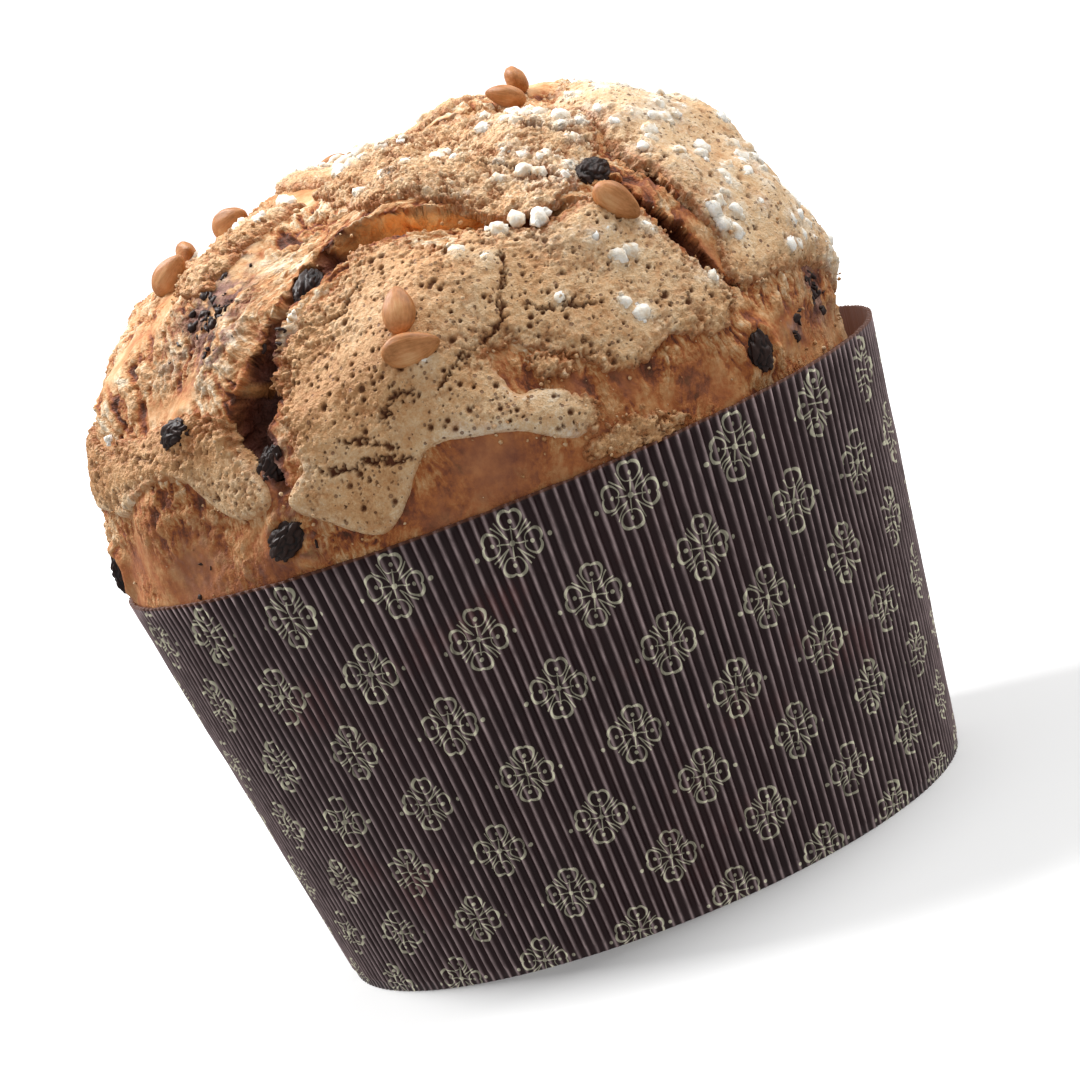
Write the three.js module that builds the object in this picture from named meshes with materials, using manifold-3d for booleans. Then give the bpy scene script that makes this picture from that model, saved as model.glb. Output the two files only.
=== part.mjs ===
// Panettone of about one kilogram, baked and sold in its fluted paper case.
// The dough rose over the rim, and the almond glaze on it broke into plates as it swelled.
// Millimetres, +Z up, origin at the centre of the flat base, front of the loaf towards -Y.

import * as THREE from 'three';
import { mergeVertices } from 'three/addons/utils/BufferGeometryUtils.js';
import Module from 'manifold-3d';

const wasm = await Module();
wasm.setup();

// Driving dimensions
const CASE_BASE_DIAMETER = 170;
const CASE_RIM_DIAMETER = 206;
const CASE_HEIGHT = 113;
const DOME_RISE = 82;
const FLUTE_COUNT = 216;
const FLUTE_DEPTH = 0.9;
const LINER_THICKNESS = 0.5;
const BASE_THICKNESS = 1.2;
const GLAZE_THICKNESS = 1.8;
const PIECE_GAP = 0.3;

const DOME_CENTRE = new THREE.Vector3(0, 0, CASE_HEIGHT);
const CASE_SLOPE = (CASE_RIM_DIAMETER - CASE_BASE_DIAMETER) / 2 / CASE_HEIGHT;

const FINISH = {
  paper: { color: 0x2c1c1e, roughness: 0.55, metalness: 0 },
  crust: { color: 0xb28a62, roughness: 0.85, metalness: 0 },
  almond: { color: 0xa8683c, roughness: 0.5, metalness: 0 },
  raisin: { color: 0x1d1310, roughness: 0.35, metalness: 0 },
};

// Conversions between three.js geometry and solids

function toSolid(geometry) {
  const bare = geometry.clone();
  bare.deleteAttribute('normal');
  bare.deleteAttribute('uv');
  const merged = mergeVertices(bare, 1e-3);
  const corners = merged.index.array;
  const kept = [];
  for (let i = 0; i < corners.length; i += 3) {
    const [a, b, c] = [corners[i], corners[i + 1], corners[i + 2]];
    if (a !== b && b !== c && c !== a) kept.push(a, b, c);
  }
  return new wasm.Manifold(new wasm.Mesh({
    numProp: 3,
    vertProperties: new Float32Array(merged.attributes.position.array),
    triVerts: new Uint32Array(kept),
  }));
}

function toGeometry(solid) {
  const { vertProperties, triVerts } = solid.getMesh();
  const geometry = new THREE.BufferGeometry();
  geometry.setAttribute('position', new THREE.BufferAttribute(vertProperties, 3));
  geometry.setIndex(new THREE.BufferAttribute(triVerts, 1));
  geometry.computeVertexNormals();
  return geometry;
}

function largest(solid) {
  return solid.decompose().sort((a, b) => b.volume() - a.volume())[0];
}

function closedMesh(points, faces) {
  const geometry = new THREE.BufferGeometry();
  geometry.setAttribute('position', new THREE.Float32BufferAttribute(points.flatMap((p) => p.toArray()), 3));
  geometry.setIndex(faces.flat());
  return geometry;
}

function moveVertices(geometry, place) {
  const { position } = geometry.attributes;
  const point = new THREE.Vector3();
  for (let i = 0; i < position.count; i += 1) {
    point.fromBufferAttribute(position, i);
    place(point, i);
    position.setXYZ(i, point.x, point.y, point.z);
  }
  return geometry;
}

// A lathe profile is given as [radius, height] pairs and turned upright, from +Y to +Z.
function lathe(profile, segments) {
  const outline = profile.map(([radius, height]) => new THREE.Vector2(radius, height));
  return new THREE.LatheGeometry(outline, segments).rotateX(Math.PI / 2);
}

// Directions out of the dome's centre: azimuth 0 is the front, 90 the right, elevation 90 the crown

function direction([azimuth, elevation]) {
  const [az, el] = [THREE.MathUtils.degToRad(azimuth), THREE.MathUtils.degToRad(elevation)];
  return new THREE.Vector3(Math.cos(el) * Math.sin(az), -Math.cos(el) * Math.cos(az), Math.sin(el));
}

function hill(offset, spread) {
  return Math.exp(-((offset / spread) ** 2));
}

function turnBetween(a, b) {
  return Math.abs(THREE.MathUtils.euclideanModulo(a - b + 180, 360) - 180);
}

// Inner face of the paper, as a radius at a height
function linerRadius(height) {
  const wall = FLUTE_DEPTH + LINER_THICKNESS;
  return CASE_BASE_DIAMETER / 2 + CASE_SLOPE * height - wall;
}

// Fluted paper case: a smooth liner inside an outer sheet in flutes, round a flat base disc

function caseSolid() {
  const outside = [[0, 0], [CASE_BASE_DIAMETER / 2, 0], [CASE_RIM_DIAMETER / 2, CASE_HEIGHT], [0, CASE_HEIGHT]];
  const flutes = moveVertices(lathe(outside, 2 * FLUTE_COUNT), (point, i) => {
    const segment = Math.floor(i / outside.length) % 2;
    const radius = Math.hypot(point.x, point.y);
    if (segment === 0 && radius > 0) {
      const valley = (radius - FLUTE_DEPTH) / radius;
      point.x *= valley;
      point.y *= valley;
    }
  });
  const hollow = lathe([[0, BASE_THICKNESS], [linerRadius(BASE_THICKNESS), BASE_THICKNESS],
    [linerRadius(CASE_HEIGHT + 5), CASE_HEIGHT + 5], [0, CASE_HEIGHT + 5]], FLUTE_COUNT / 3);
  return toSolid(flutes).subtract(toSolid(hollow));
}

// Dome of dough: a squared-off ellipsoid that rose most to the right of the crown, with shallow swells.
// Below the rim it follows the liner, and on the right it shrank away from the paper.

const DOME_SQUARENESS = 2.15;
const LUMPS = [
  { at: [-90, 35], swell: 6.5, spread: 26 },
  { at: [88, 53], swell: 9, spread: 26 },
  { at: [88, 14], swell: -5, spread: 16 },
];
const SHRINK = { azimuth: 88, amount: 6.5, width: 42 };
const SWELLS = [
  { amplitude: 1.3, wave: new THREE.Vector3(11, -7, 5), phase: 0.4 },
  { amplitude: 1.1, wave: new THREE.Vector3(-6, 13, 9), phase: 2.1 },
  { amplitude: 0.8, wave: new THREE.Vector3(15, 10, -12), phase: 4.0 },
];

function crustReach(way) {
  const azimuth = THREE.MathUtils.radToDeg(Math.atan2(way.x, -way.y));
  const elevation = THREE.MathUtils.radToDeg(Math.asin(THREE.MathUtils.clamp(way.z, -1, 1)));
  const level = Math.hypot(way.x, way.y);
  const shrink = SHRINK.amount * hill(turnBetween(azimuth, SHRINK.azimuth), SHRINK.width);
  const rim = linerRadius(CASE_HEIGHT) - PIECE_GAP;
  if (way.z <= 0) {
    // A ray below the rim plane meets the liner's cone where radius and height fall together.
    return (rim - shrink * hill(elevation, 9)) / (level - CASE_SLOPE * way.z);
  }
  const power = DOME_SQUARENESS;
  const round = ((level / rim) ** power + (way.z / DOME_RISE) ** power) ** (-1 / power);
  let swell = 0;
  for (const lump of LUMPS) {
    const apart = THREE.MathUtils.radToDeg(way.angleTo(direction(lump.at)));
    swell += lump.swell * hill(apart, lump.spread);
  }
  for (const { amplitude, wave, phase } of SWELLS) swell += amplitude * Math.sin(wave.dot(way) + phase);
  const aboveRim = Math.min(1, elevation / 12);
  return round + swell * aboveRim - shrink * hill(elevation, 9);
}

// Vertices far below the rim plane are pulled in, where the loaf's straight part covers them.
const DOME_DETAIL = 11;
const NECK_DEPTH = 12;
const HIDDEN_REACH = 55;

function domeSolid(thickness) {
  const ball = new THREE.IcosahedronGeometry(1, DOME_DETAIL);
  return toSolid(moveVertices(ball, (point) => {
    const way = point.clone().normalize();
    const reach = way.z < -0.2 ? HIDDEN_REACH : crustReach(way) + (way.z > 0 ? thickness : 0);
    point.copy(way).multiplyScalar(reach).add(DOME_CENTRE);
  }));
}

function trunkSolid() {
  const foot = BASE_THICKNESS + PIECE_GAP;
  const top = CASE_HEIGHT - NECK_DEPTH;
  return toSolid(lathe([[0, foot], [linerRadius(foot) - 3, foot], [linerRadius(foot + 3) - PIECE_GAP, foot + 3],
    [linerRadius(top) - PIECE_GAP - 0.2, top], [0, top]], 64));
}

// Plates of almond glaze, each an outline of [azimuth, elevation] in degrees, cut out of a thicker dome

const PLATES = {
  front: [[-16, 41], [-11, 45], [-2, 43], [6, 40], [13, 39], [18, 35], [28, 35], [36, 35], [39, 28], [41, 20],
    [44, 14], [41, 11], [30, 11], [20, 10], [14, 15], [1, 20], [8, 12], [15, 7], [10, 4], [4, 8], [-8, 10],
    [-12, 7], [-16, 2], [-24, 3], [-33, 10], [-27, 13], [-29, 23], [-29, 31], [-25, 39]],
  front_left: [[-88, 24], [-76, 26], [-66, 22], [-61, 24], [-45, 24], [-39, 23], [-37, 16], [-34, 12], [-43, 10],
    [-47, 15], [-54, 18], [-61, 15], [-75, 13], [-84, 14]],
  top: [[-14, 53], [-2, 52], [8, 50], [15, 48], [21, 40], [30, 37], [46, 43], [56, 50], [80, 60], [74, 68],
    [20, 77], [-50, 68]],
  right: [[49, 42], [46, 30], [49, 24], [45, 18], [48, 13], [59, 11], [71, 10], [78, 4], [94, 8], [112, 12],
    [120, 24], [112, 40], [96, 52], [86, 55], [57, 47]],
  crown: [[36, 79], [76, 71], [110, 62], [150, 66], [-170, 62], [-120, 66], [-66, 74]],
  back_right: [[124, 12], [144, 8], [160, 14], [164, 28], [158, 44], [140, 56], [118, 54], [120, 40], [128, 26]],
  back: [[170, 10], [-170, 6], [-152, 12], [-146, 26], [-152, 40], [-166, 54], [174, 56], [168, 42], [172, 26]],
  back_left: [[-142, 14], [-126, 8], [-106, 12], [-98, 22], [-104, 36], [-118, 46], [-136, 52], [-144, 40],
    [-136, 26]],
};

function polarMap([azimuth, elevation]) {
  const az = THREE.MathUtils.degToRad(azimuth);
  return new THREE.Vector2(Math.sin(az), -Math.cos(az)).multiplyScalar(90 - elevation);
}

const PRISM_INNER = 50;
const PRISM_OUTER = 190;

function platePrism(outline) {
  const flat = outline.map(polarMap);
  const turned = THREE.ShapeUtils.isClockWise(flat) ? [...outline].reverse() : outline;
  const ways = turned.map(direction);
  const count = ways.length;
  const ring = (reach) => ways.map((way) => way.clone().multiplyScalar(reach).add(DOME_CENTRE));
  const cap = THREE.ShapeUtils.triangulateShape(turned.map(polarMap), []);
  const faces = [];
  for (const [a, b, c] of cap) faces.push([a + count, b + count, c + count], [c, b, a]);
  for (let i = 0; i < count; i += 1) {
    const next = (i + 1) % count;
    faces.push([i, next, next + count], [i, next + count, i + count]);
  }
  return toSolid(closedMesh([...ring(PRISM_INNER), ...ring(PRISM_OUTER)], faces));
}

// Splits in the crust, each a wedge along a path of [azimuth, elevation], with half width and depth in mm

const SPLITS = [
  { path: [[-29, 38], [-25, 43], [-19, 47], [-9, 48], [2, 46], [11, 46], [19, 39], [30, 36]], half: 5.2, depth: 13 },
  { path: [[40, 43], [38, 33], [40, 27], [41, 22], [44, 13]], half: 2.4, depth: 11 },
  { path: [[48, 40], [44, 31], [49, 24]], half: 1.8, depth: 6 },
  { path: [[-33, 31], [-34, 24], [-36, 20], [-32, 15], [-30, 10]], half: 3.6, depth: 11 },
  { path: [[9, 27], [11, 23], [16, 15]], half: 1.5, depth: 4 },
  { path: [[24, 77], [46, 74], [62, 70]], half: 1.4, depth: 5 },
  { path: [[118, 8], [124, 26], [118, 42], [124, 58]], half: 3, depth: 9 },
  { path: [[164, 6], [166, 26], [160, 46], [170, 62]], half: 3.8, depth: 11 },
  { path: [[-148, 8], [-140, 26], [-148, 44], [-140, 60]], half: 3.4, depth: 10 },
  { path: [[-96, 10], [-92, 28], [-100, 44], [-88, 60]], half: 2.6, depth: 8 },
];
const SPLIT_STEPS = 2;
const SPLIT_TOP = 112;

function splitWedge({ path, half, depth }) {
  const curve = new THREE.CatmullRomCurve3(path.map(direction));
  const steps = SPLIT_STEPS * (path.length - 1);
  const points = [];
  const faces = [];
  for (let i = 0; i <= steps; i += 1) {
    const way = curve.getPoint(i / steps).normalize();
    const along = curve.getTangent(i / steps);
    const across = new THREE.Vector3().crossVectors(along, way).normalize();
    const fullness = Math.sqrt(Math.sin(Math.PI * (i + 0.6) / (steps + 1.2)));
    const wander = 1 + 0.25 * Math.sin(2.4 * i);
    // The wedge opens with distance, so its width is scaled back to what it is at the crust.
    const edge = half * fullness * wander * (SPLIT_TOP - crustReach(way) + depth) / depth;
    const mouth = way.clone().multiplyScalar(SPLIT_TOP);
    points.push(mouth.clone().addScaledVector(across, edge), mouth.clone().addScaledVector(across, -edge),
      way.clone().multiplyScalar(crustReach(way) - depth * fullness));
  }
  for (let i = 0; i < steps; i += 1) {
    const [left, right, floor] = [3 * i, 3 * i + 1, 3 * i + 2];
    faces.push([left, right + 3, right], [left, left + 3, right + 3], [right, floor + 3, floor],
      [right, right + 3, floor + 3], [floor, left + 3, left], [floor, floor + 3, left + 3]);
  }
  const last = 3 * steps;
  faces.push([0, 1, 2], [last, last + 2, last + 1]);
  points.forEach((point) => point.add(DOME_CENTRE));
  return toSolid(closedMesh(points, faces));
}

// Whole toasted almonds and raisins, pressed into the crust: each with its direction from the dome's
// centre, the turn of its long axis, and how far an almond stands on edge or a raisin is sunk

const ALMOND = { length: 14.5, width: 9.5, thickness: 6.2 };
const ALMONDS = [
  { at: [-6, 29], turn: 78, edge: 0 },
  { at: [-6, 23], turn: -4, edge: 60 },
  { at: [34, 32], turn: -68, edge: 70 },
  { at: [66, 66], turn: 80, edge: 40 },
  { at: [88, 66], turn: 10, edge: 50 },
  { at: [-79, 62], turn: 35, edge: 80 },
  { at: [-91, 54], turn: 20, edge: 60 },
  { at: [-82, 50], turn: 62, edge: 60 },
  { at: [138, 40], turn: 25, edge: 0 },
  { at: [-172, 30], turn: -50, edge: 20 },
  { at: [-128, 30], turn: 70, edge: 0 },
  { at: [-158, 66], turn: 15, edge: 30 },
];
const RAISIN = { length: 12, width: 8, thickness: 6.5 };
const RAISINS = [
  { at: [39, 40], turn: 20, sink: 1.5 },
  { at: [-25, 42], turn: 70, sink: 4.5 },
  { at: [-49, 23], turn: 10, sink: 1 },
  { at: [-33, 15], turn: 60, sink: 5 },
  { at: [-32, 5], turn: 30, sink: 1.5 },
  { at: [42, 5], turn: 75, sink: 2 },
  { at: [-81, 5], turn: 80, sink: 2 },
  { at: [123, 25], turn: 80, sink: 4 },
  { at: [-150, 6], turn: 0, sink: 1.5 },
  { at: [165, 36], turn: 60, sink: 5 },
];

// A kernel is an ellipsoid drawn to a blunt point at one end.
function kernelGeometry({ length, width, thickness }, point, margin = 0) {
  return moveVertices(new THREE.SphereGeometry(1, 8, 5).rotateZ(Math.PI / 2), (vertex) => {
    const taper = 1 - point * vertex.x;
    vertex.set(vertex.x * (length / 2 + margin), vertex.y * taper * (width / 2 + margin),
      vertex.z * taper * (thickness / 2 + margin));
  });
}

// Places a piece on the crust: x runs along the surface at the given turn, z points out.
function seat(at, turn, edge, reach) {
  const way = direction(at);
  const east = new THREE.Vector3(0, 0, 1).cross(way).normalize();
  const north = new THREE.Vector3().crossVectors(way, east);
  const spin = new THREE.Matrix4().makeRotationZ(THREE.MathUtils.degToRad(turn));
  const roll = new THREE.Matrix4().makeRotationX(THREE.MathUtils.degToRad(edge));
  const place = new THREE.Matrix4().makeBasis(east, north, way).multiply(spin).multiply(roll);
  return place.setPosition(way.multiplyScalar(reach).add(DOME_CENTRE));
}

// Each piece sits in a socket of its own shape in the loaf, and the socket has a margin.
function almondSolid({ at, turn, edge }, margin = 0) {
  const reach = crustReach(direction(at)) + GLAZE_THICKNESS + 0.2 * ALMOND.thickness;
  return toSolid(kernelGeometry(ALMOND, 0.28, margin).applyMatrix4(seat(at, turn, edge, reach)));
}

function raisinSolid({ at, turn, sink }, margin = 0) {
  const reach = crustReach(direction(at)) + 1.5 - sink;
  return toSolid(kernelGeometry(RAISIN, 0.1, margin).applyMatrix4(seat(at, turn, 0, reach)));
}

// Pearl sugar: hard white nibs baked into the glaze, thickest on the right and the crown

const NIB_COUNT = 52;
const NIB_SIZE = 4.2;
const NIB_SPACING = 7;

function seededDraw(seed) {
  let state = seed;
  return () => {
    state = (state * 1664525 + 1013904223) % 4294967296;
    return state / 4294967296;
  };
}

function nibPlaces() {
  const draw = seededDraw(11);
  const places = [];
  const busy = [...ALMONDS, ...RAISINS].map(({ at }) => direction(at));
  while (places.length < NIB_COUNT) {
    const at = [360 * draw() - 180, THREE.MathUtils.radToDeg(Math.asin(0.18 + 0.8 * draw()))];
    const way = direction(at);
    const sugared = 0.12 + 0.88 * Math.max(hill(turnBetween(at[0], 75), 60), hill(90 - at[1], 30));
    const clear = (others, gap) => others.every((other) => other.distanceTo(way) * 95 > gap);
    const nib = { way, size: NIB_SIZE * (0.7 + 0.5 * draw()), turn: 360 * draw() };
    if (draw() < sugared && clear(busy, 13) && clear(places.map((place) => place.way), NIB_SPACING)) places.push(nib);
  }
  return places;
}

function nibSolid({ way, size, turn }) {
  const reach = crustReach(way) + GLAZE_THICKNESS + 0.12 * size;
  const geometry = new THREE.IcosahedronGeometry(size / 2, 0).scale(1.15, 0.9, 0.95)
    .rotateX(turn).rotateZ(2 * turn);
  return toSolid(geometry.translate(...way.clone().multiplyScalar(reach).add(DOME_CENTRE).toArray()));
}

function loafSolid() {
  const glaze = domeSolid(GLAZE_THICKNESS);
  let loaf = domeSolid(0).add(trunkSolid());
  for (const outline of Object.values(PLATES)) loaf = loaf.add(glaze.intersect(platePrism(outline)));
  for (const split of SPLITS) loaf = loaf.subtract(splitWedge(split));
  for (const place of nibPlaces()) loaf = loaf.add(nibSolid(place));
  for (const almond of ALMONDS) loaf = loaf.subtract(almondSolid(almond, PIECE_GAP));
  for (const raisin of RAISINS) loaf = loaf.subtract(raisinSolid(raisin, PIECE_GAP));
  // Vertices that nearly touch are merged, and a sliver that this frees is dropped.
  return largest(toSolid(toGeometry(loaf)));
}

// The parts

const panettone = new THREE.Group();

function addPart(name, geometry, finish) {
  const mesh = new THREE.Mesh(geometry, new THREE.MeshStandardMaterial(FINISH[finish]));
  mesh.name = name;
  panettone.add(mesh);
}

addPart('paper_case', toGeometry(caseSolid()), 'paper');
addPart('loaf', toGeometry(loafSolid()), 'crust');
ALMONDS.forEach((almond, i) => addPart(`almond_${i + 1}`, toGeometry(almondSolid(almond)), 'almond'));
RAISINS.forEach((raisin, i) => addPart(`raisin_${i + 1}`, toGeometry(raisinSolid(raisin)), 'raisin'));

export default panettone;
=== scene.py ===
import math
import bmesh
import bpy
import numpy as np
from mathutils import Matrix, Vector


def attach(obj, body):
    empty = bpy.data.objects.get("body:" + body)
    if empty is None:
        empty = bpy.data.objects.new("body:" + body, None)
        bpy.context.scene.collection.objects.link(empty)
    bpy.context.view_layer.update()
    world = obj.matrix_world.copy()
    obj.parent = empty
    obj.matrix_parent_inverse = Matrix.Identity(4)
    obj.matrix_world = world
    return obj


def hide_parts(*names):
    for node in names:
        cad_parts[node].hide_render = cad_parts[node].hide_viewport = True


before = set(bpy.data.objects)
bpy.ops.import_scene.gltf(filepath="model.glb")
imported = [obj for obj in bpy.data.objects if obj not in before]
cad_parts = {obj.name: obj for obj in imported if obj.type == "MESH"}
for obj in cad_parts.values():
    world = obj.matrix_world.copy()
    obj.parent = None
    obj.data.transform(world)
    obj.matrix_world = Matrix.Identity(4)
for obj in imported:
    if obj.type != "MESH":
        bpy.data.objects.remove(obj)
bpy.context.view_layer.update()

# A panettone of about a kilogram in its fluted paper case, seen a little from above and leaning left.
# Sizes are in millimetres and turned to metres where a mesh is made; the front of the loaf is at -Y.

MM = 0.001

# Camera
# A long lens a metre away, turned about its own axis, so that the upright loaf leans in the picture.

CAMERA_DISTANCE = 1.0
CAMERA_ELEVATION = math.radians(7.34)
CAMERA_ROLL = math.radians(21.5)
CAMERA_LENS = 128.6
ORBIT_CENTRE = Vector((0, 0, 0.100))
AIM = Vector((0.0017, -0.0016, 0.0879))

camera = bpy.data.objects.new("camera", bpy.data.cameras.new("camera"))
bpy.context.scene.collection.objects.link(camera)
orbit = Vector((0, -math.cos(CAMERA_ELEVATION), math.sin(CAMERA_ELEVATION)))
eye = ORBIT_CENTRE + CAMERA_DISTANCE * orbit
back = (eye - AIM).normalized()
level = Vector((0, 0, 1)).cross(back).normalized()
facing = Matrix((level, back.cross(level), back)).transposed()
camera.matrix_world = Matrix.Translation(eye) @ (facing @ Matrix.Rotation(-CAMERA_ROLL, 3, "Z")).to_4x4()
camera.data.lens = CAMERA_LENS
camera.data.clip_end = 20
bpy.context.scene.camera = camera
bpy.context.scene.view_settings.view_transform = "Standard"


# Paper case
# A baking case of greaseproof kraft paper, printed dark brown with small flowers in pale gold ink.
# The outer sheet is pressed in narrow flutes round a smooth liner; its foot is hemmed over the base disc.

CASE_BASE_RADIUS = 85
CASE_RIM_RADIUS = 103
CASE_HEIGHT = 113
CASE_SLOPE = (CASE_RIM_RADIUS - CASE_BASE_RADIUS) / CASE_HEIGHT
FLUTE_COUNT = 216
FLUTE_DEPTH = 0.9
FLUTE_COLUMNS = 10
FLUTE_ROWS = 22
LINER_THICKNESS = 0.5
BASE_THICKNESS = 1.2
HEM_HEIGHT = 2.6
HEM_DEPTH = 0.35
MEAN_RADIUS = 95
SHEET_INSET = 0.3

GRADIENTS = np.random.default_rng(5).normal(size=(4096, 3))
GRADIENTS /= np.linalg.norm(GRADIENTS, axis=1, keepdims=True)


def scramble(cells, seed):
    """A repeatable draw from 0 to 4095 for each whole-numbered cell."""
    mixed = cells[..., 0] * 374761393 + cells[..., 1] * 668265263
    mixed = mixed + cells[..., 2] * 1274126177 + seed * 97531
    mixed = (mixed ^ (mixed >> 13)) * 1103515245
    return ((mixed ^ (mixed >> 16)) & 4095).astype(np.int64)


def noise(points, size, seed):
    """Smooth swells of about the given size, mostly from -1 to 1."""
    places = points / size
    cells = np.floor(places).astype(np.int64)
    inside = places - cells
    blend = inside * inside * inside * (inside * (inside * 6 - 15) + 10)
    total = np.zeros(len(points))
    for corner in np.ndindex(2, 2, 2):
        share = np.prod(np.where(corner, blend, 1 - blend), axis=1)
        total += share * np.einsum("ij,ij->i", GRADIENTS[scramble(cells + corner, seed)], inside - corner)
    return 1.7 * total


def layered(points, size, seed, layers=3, fade=0.5):
    """Noise of several sizes, each half the one before and weaker by the fade."""
    return sum(fade ** i * noise(points, size / 2 ** i, seed + i) for i in range(layers))


def shifts(points, size, seed, layers, fade, step=1, count=3):
    """Layered noise for each of count axes, from seeds a step apart."""
    return np.stack([layered(points, size, seed + step * i, layers, fade) for i in range(count)], axis=1)


def clods(points, size, seed):
    """Distance to the nearest of loosely spread points, how much further the next is, and its own draw."""
    places = points / size
    cells = np.floor(places).astype(np.int64)
    near = np.full(len(points), 9.0)
    second = np.full(len(points), 9.0)
    chance = np.zeros(len(points))
    for step in np.ndindex(3, 3, 3):
        cell = cells + np.array(step) - 1
        centre = cell + 0.5 + 0.42 * GRADIENTS[scramble(cell, seed)]
        apart = np.linalg.norm(places - centre, axis=1)
        second = np.minimum(second, np.maximum(near, apart))
        chance = np.where(apart < near, scramble(cell, seed + 7) / 4095, chance)
        near = np.minimum(near, apart)
    return near, second - near, chance


def ease(low, high, value):
    """0 below low, 1 above high and a smooth rise between them."""
    share = np.clip((value - low) / (high - low), 0, 1)
    return share * share * (3 - 2 * share)


def hill(offset, spread):
    return np.exp(-(offset / spread) ** 2)


def read_points(mesh):
    """A mesh's vertices in millimetres."""
    flat = np.empty(len(mesh.vertices) * 3, np.float32)
    mesh.vertices.foreach_get("co", flat)
    return flat.reshape(-1, 3).astype(float) / MM


def write_points(mesh, points):
    mesh.vertices.foreach_set("co", (points * MM).astype(np.float32).ravel())
    mesh.update()


def write_values(mesh, name, values):
    attribute = mesh.attributes.new(name, "FLOAT", "POINT")
    attribute.data.foreach_set("value", values.astype(np.float32))


def write_vectors(mesh, name, vectors):
    attribute = mesh.attributes.new(name, "FLOAT_VECTOR", "POINT")
    attribute.data.foreach_set("vector", (vectors * MM).astype(np.float32).ravel())


def mesh_of(bm, name):
    mesh = bpy.data.meshes.new(name)
    bm.to_mesh(mesh)
    bm.free()
    return mesh


def add_piece(name, mesh, material):
    mesh.shade_smooth()
    mesh.materials.append(material)
    piece = bpy.data.objects.new(name, mesh)
    bpy.context.scene.collection.objects.link(piece)
    return piece


def linear(colour):
    """An sRGB hex colour as linear red, green, blue and alpha."""
    parts = [int(colour[i:i + 2], 16) / 255 for i in (1, 3, 5)]
    return tuple(c / 12.92 if c <= 0.04045 else ((c + 0.055) / 1.055) ** 2.4 for c in parts) + (1,)


def new_material(name, **values):
    """A material and its shader, with the shader's own sockets set."""
    material = bpy.data.materials.new(name)
    material.use_nodes = True
    shader = material.node_tree.nodes["Principled BSDF"]
    for socket, value in values.items():
        shader.inputs[socket.replace("_", " ")].default_value = value
    return material, shader


def add(tree, kind, *given, out=0, stops=(), **settings):
    """Adds a node and links or sets its inputs: given in order, or as one dict by name or number."""
    node = tree.nodes.new("ShaderNode" + kind)
    for name, value in settings.items():
        setattr(node, name, value)
    for number, (position, shade) in enumerate(stops):
        elements = node.color_ramp.elements
        element = elements[number] if number < 2 else elements.new(position)
        element.position = position
        element.color = linear(shade)
    pairs = given[0].items() if given and isinstance(given[0], dict) else enumerate(given)
    for key, value in pairs:
        if isinstance(value, bpy.types.NodeSocket):
            tree.links.new(value, node.inputs[key])
        else:
            node.inputs[key].default_value = linear(value) if isinstance(value, str) else value
    return node.outputs[out]


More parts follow.
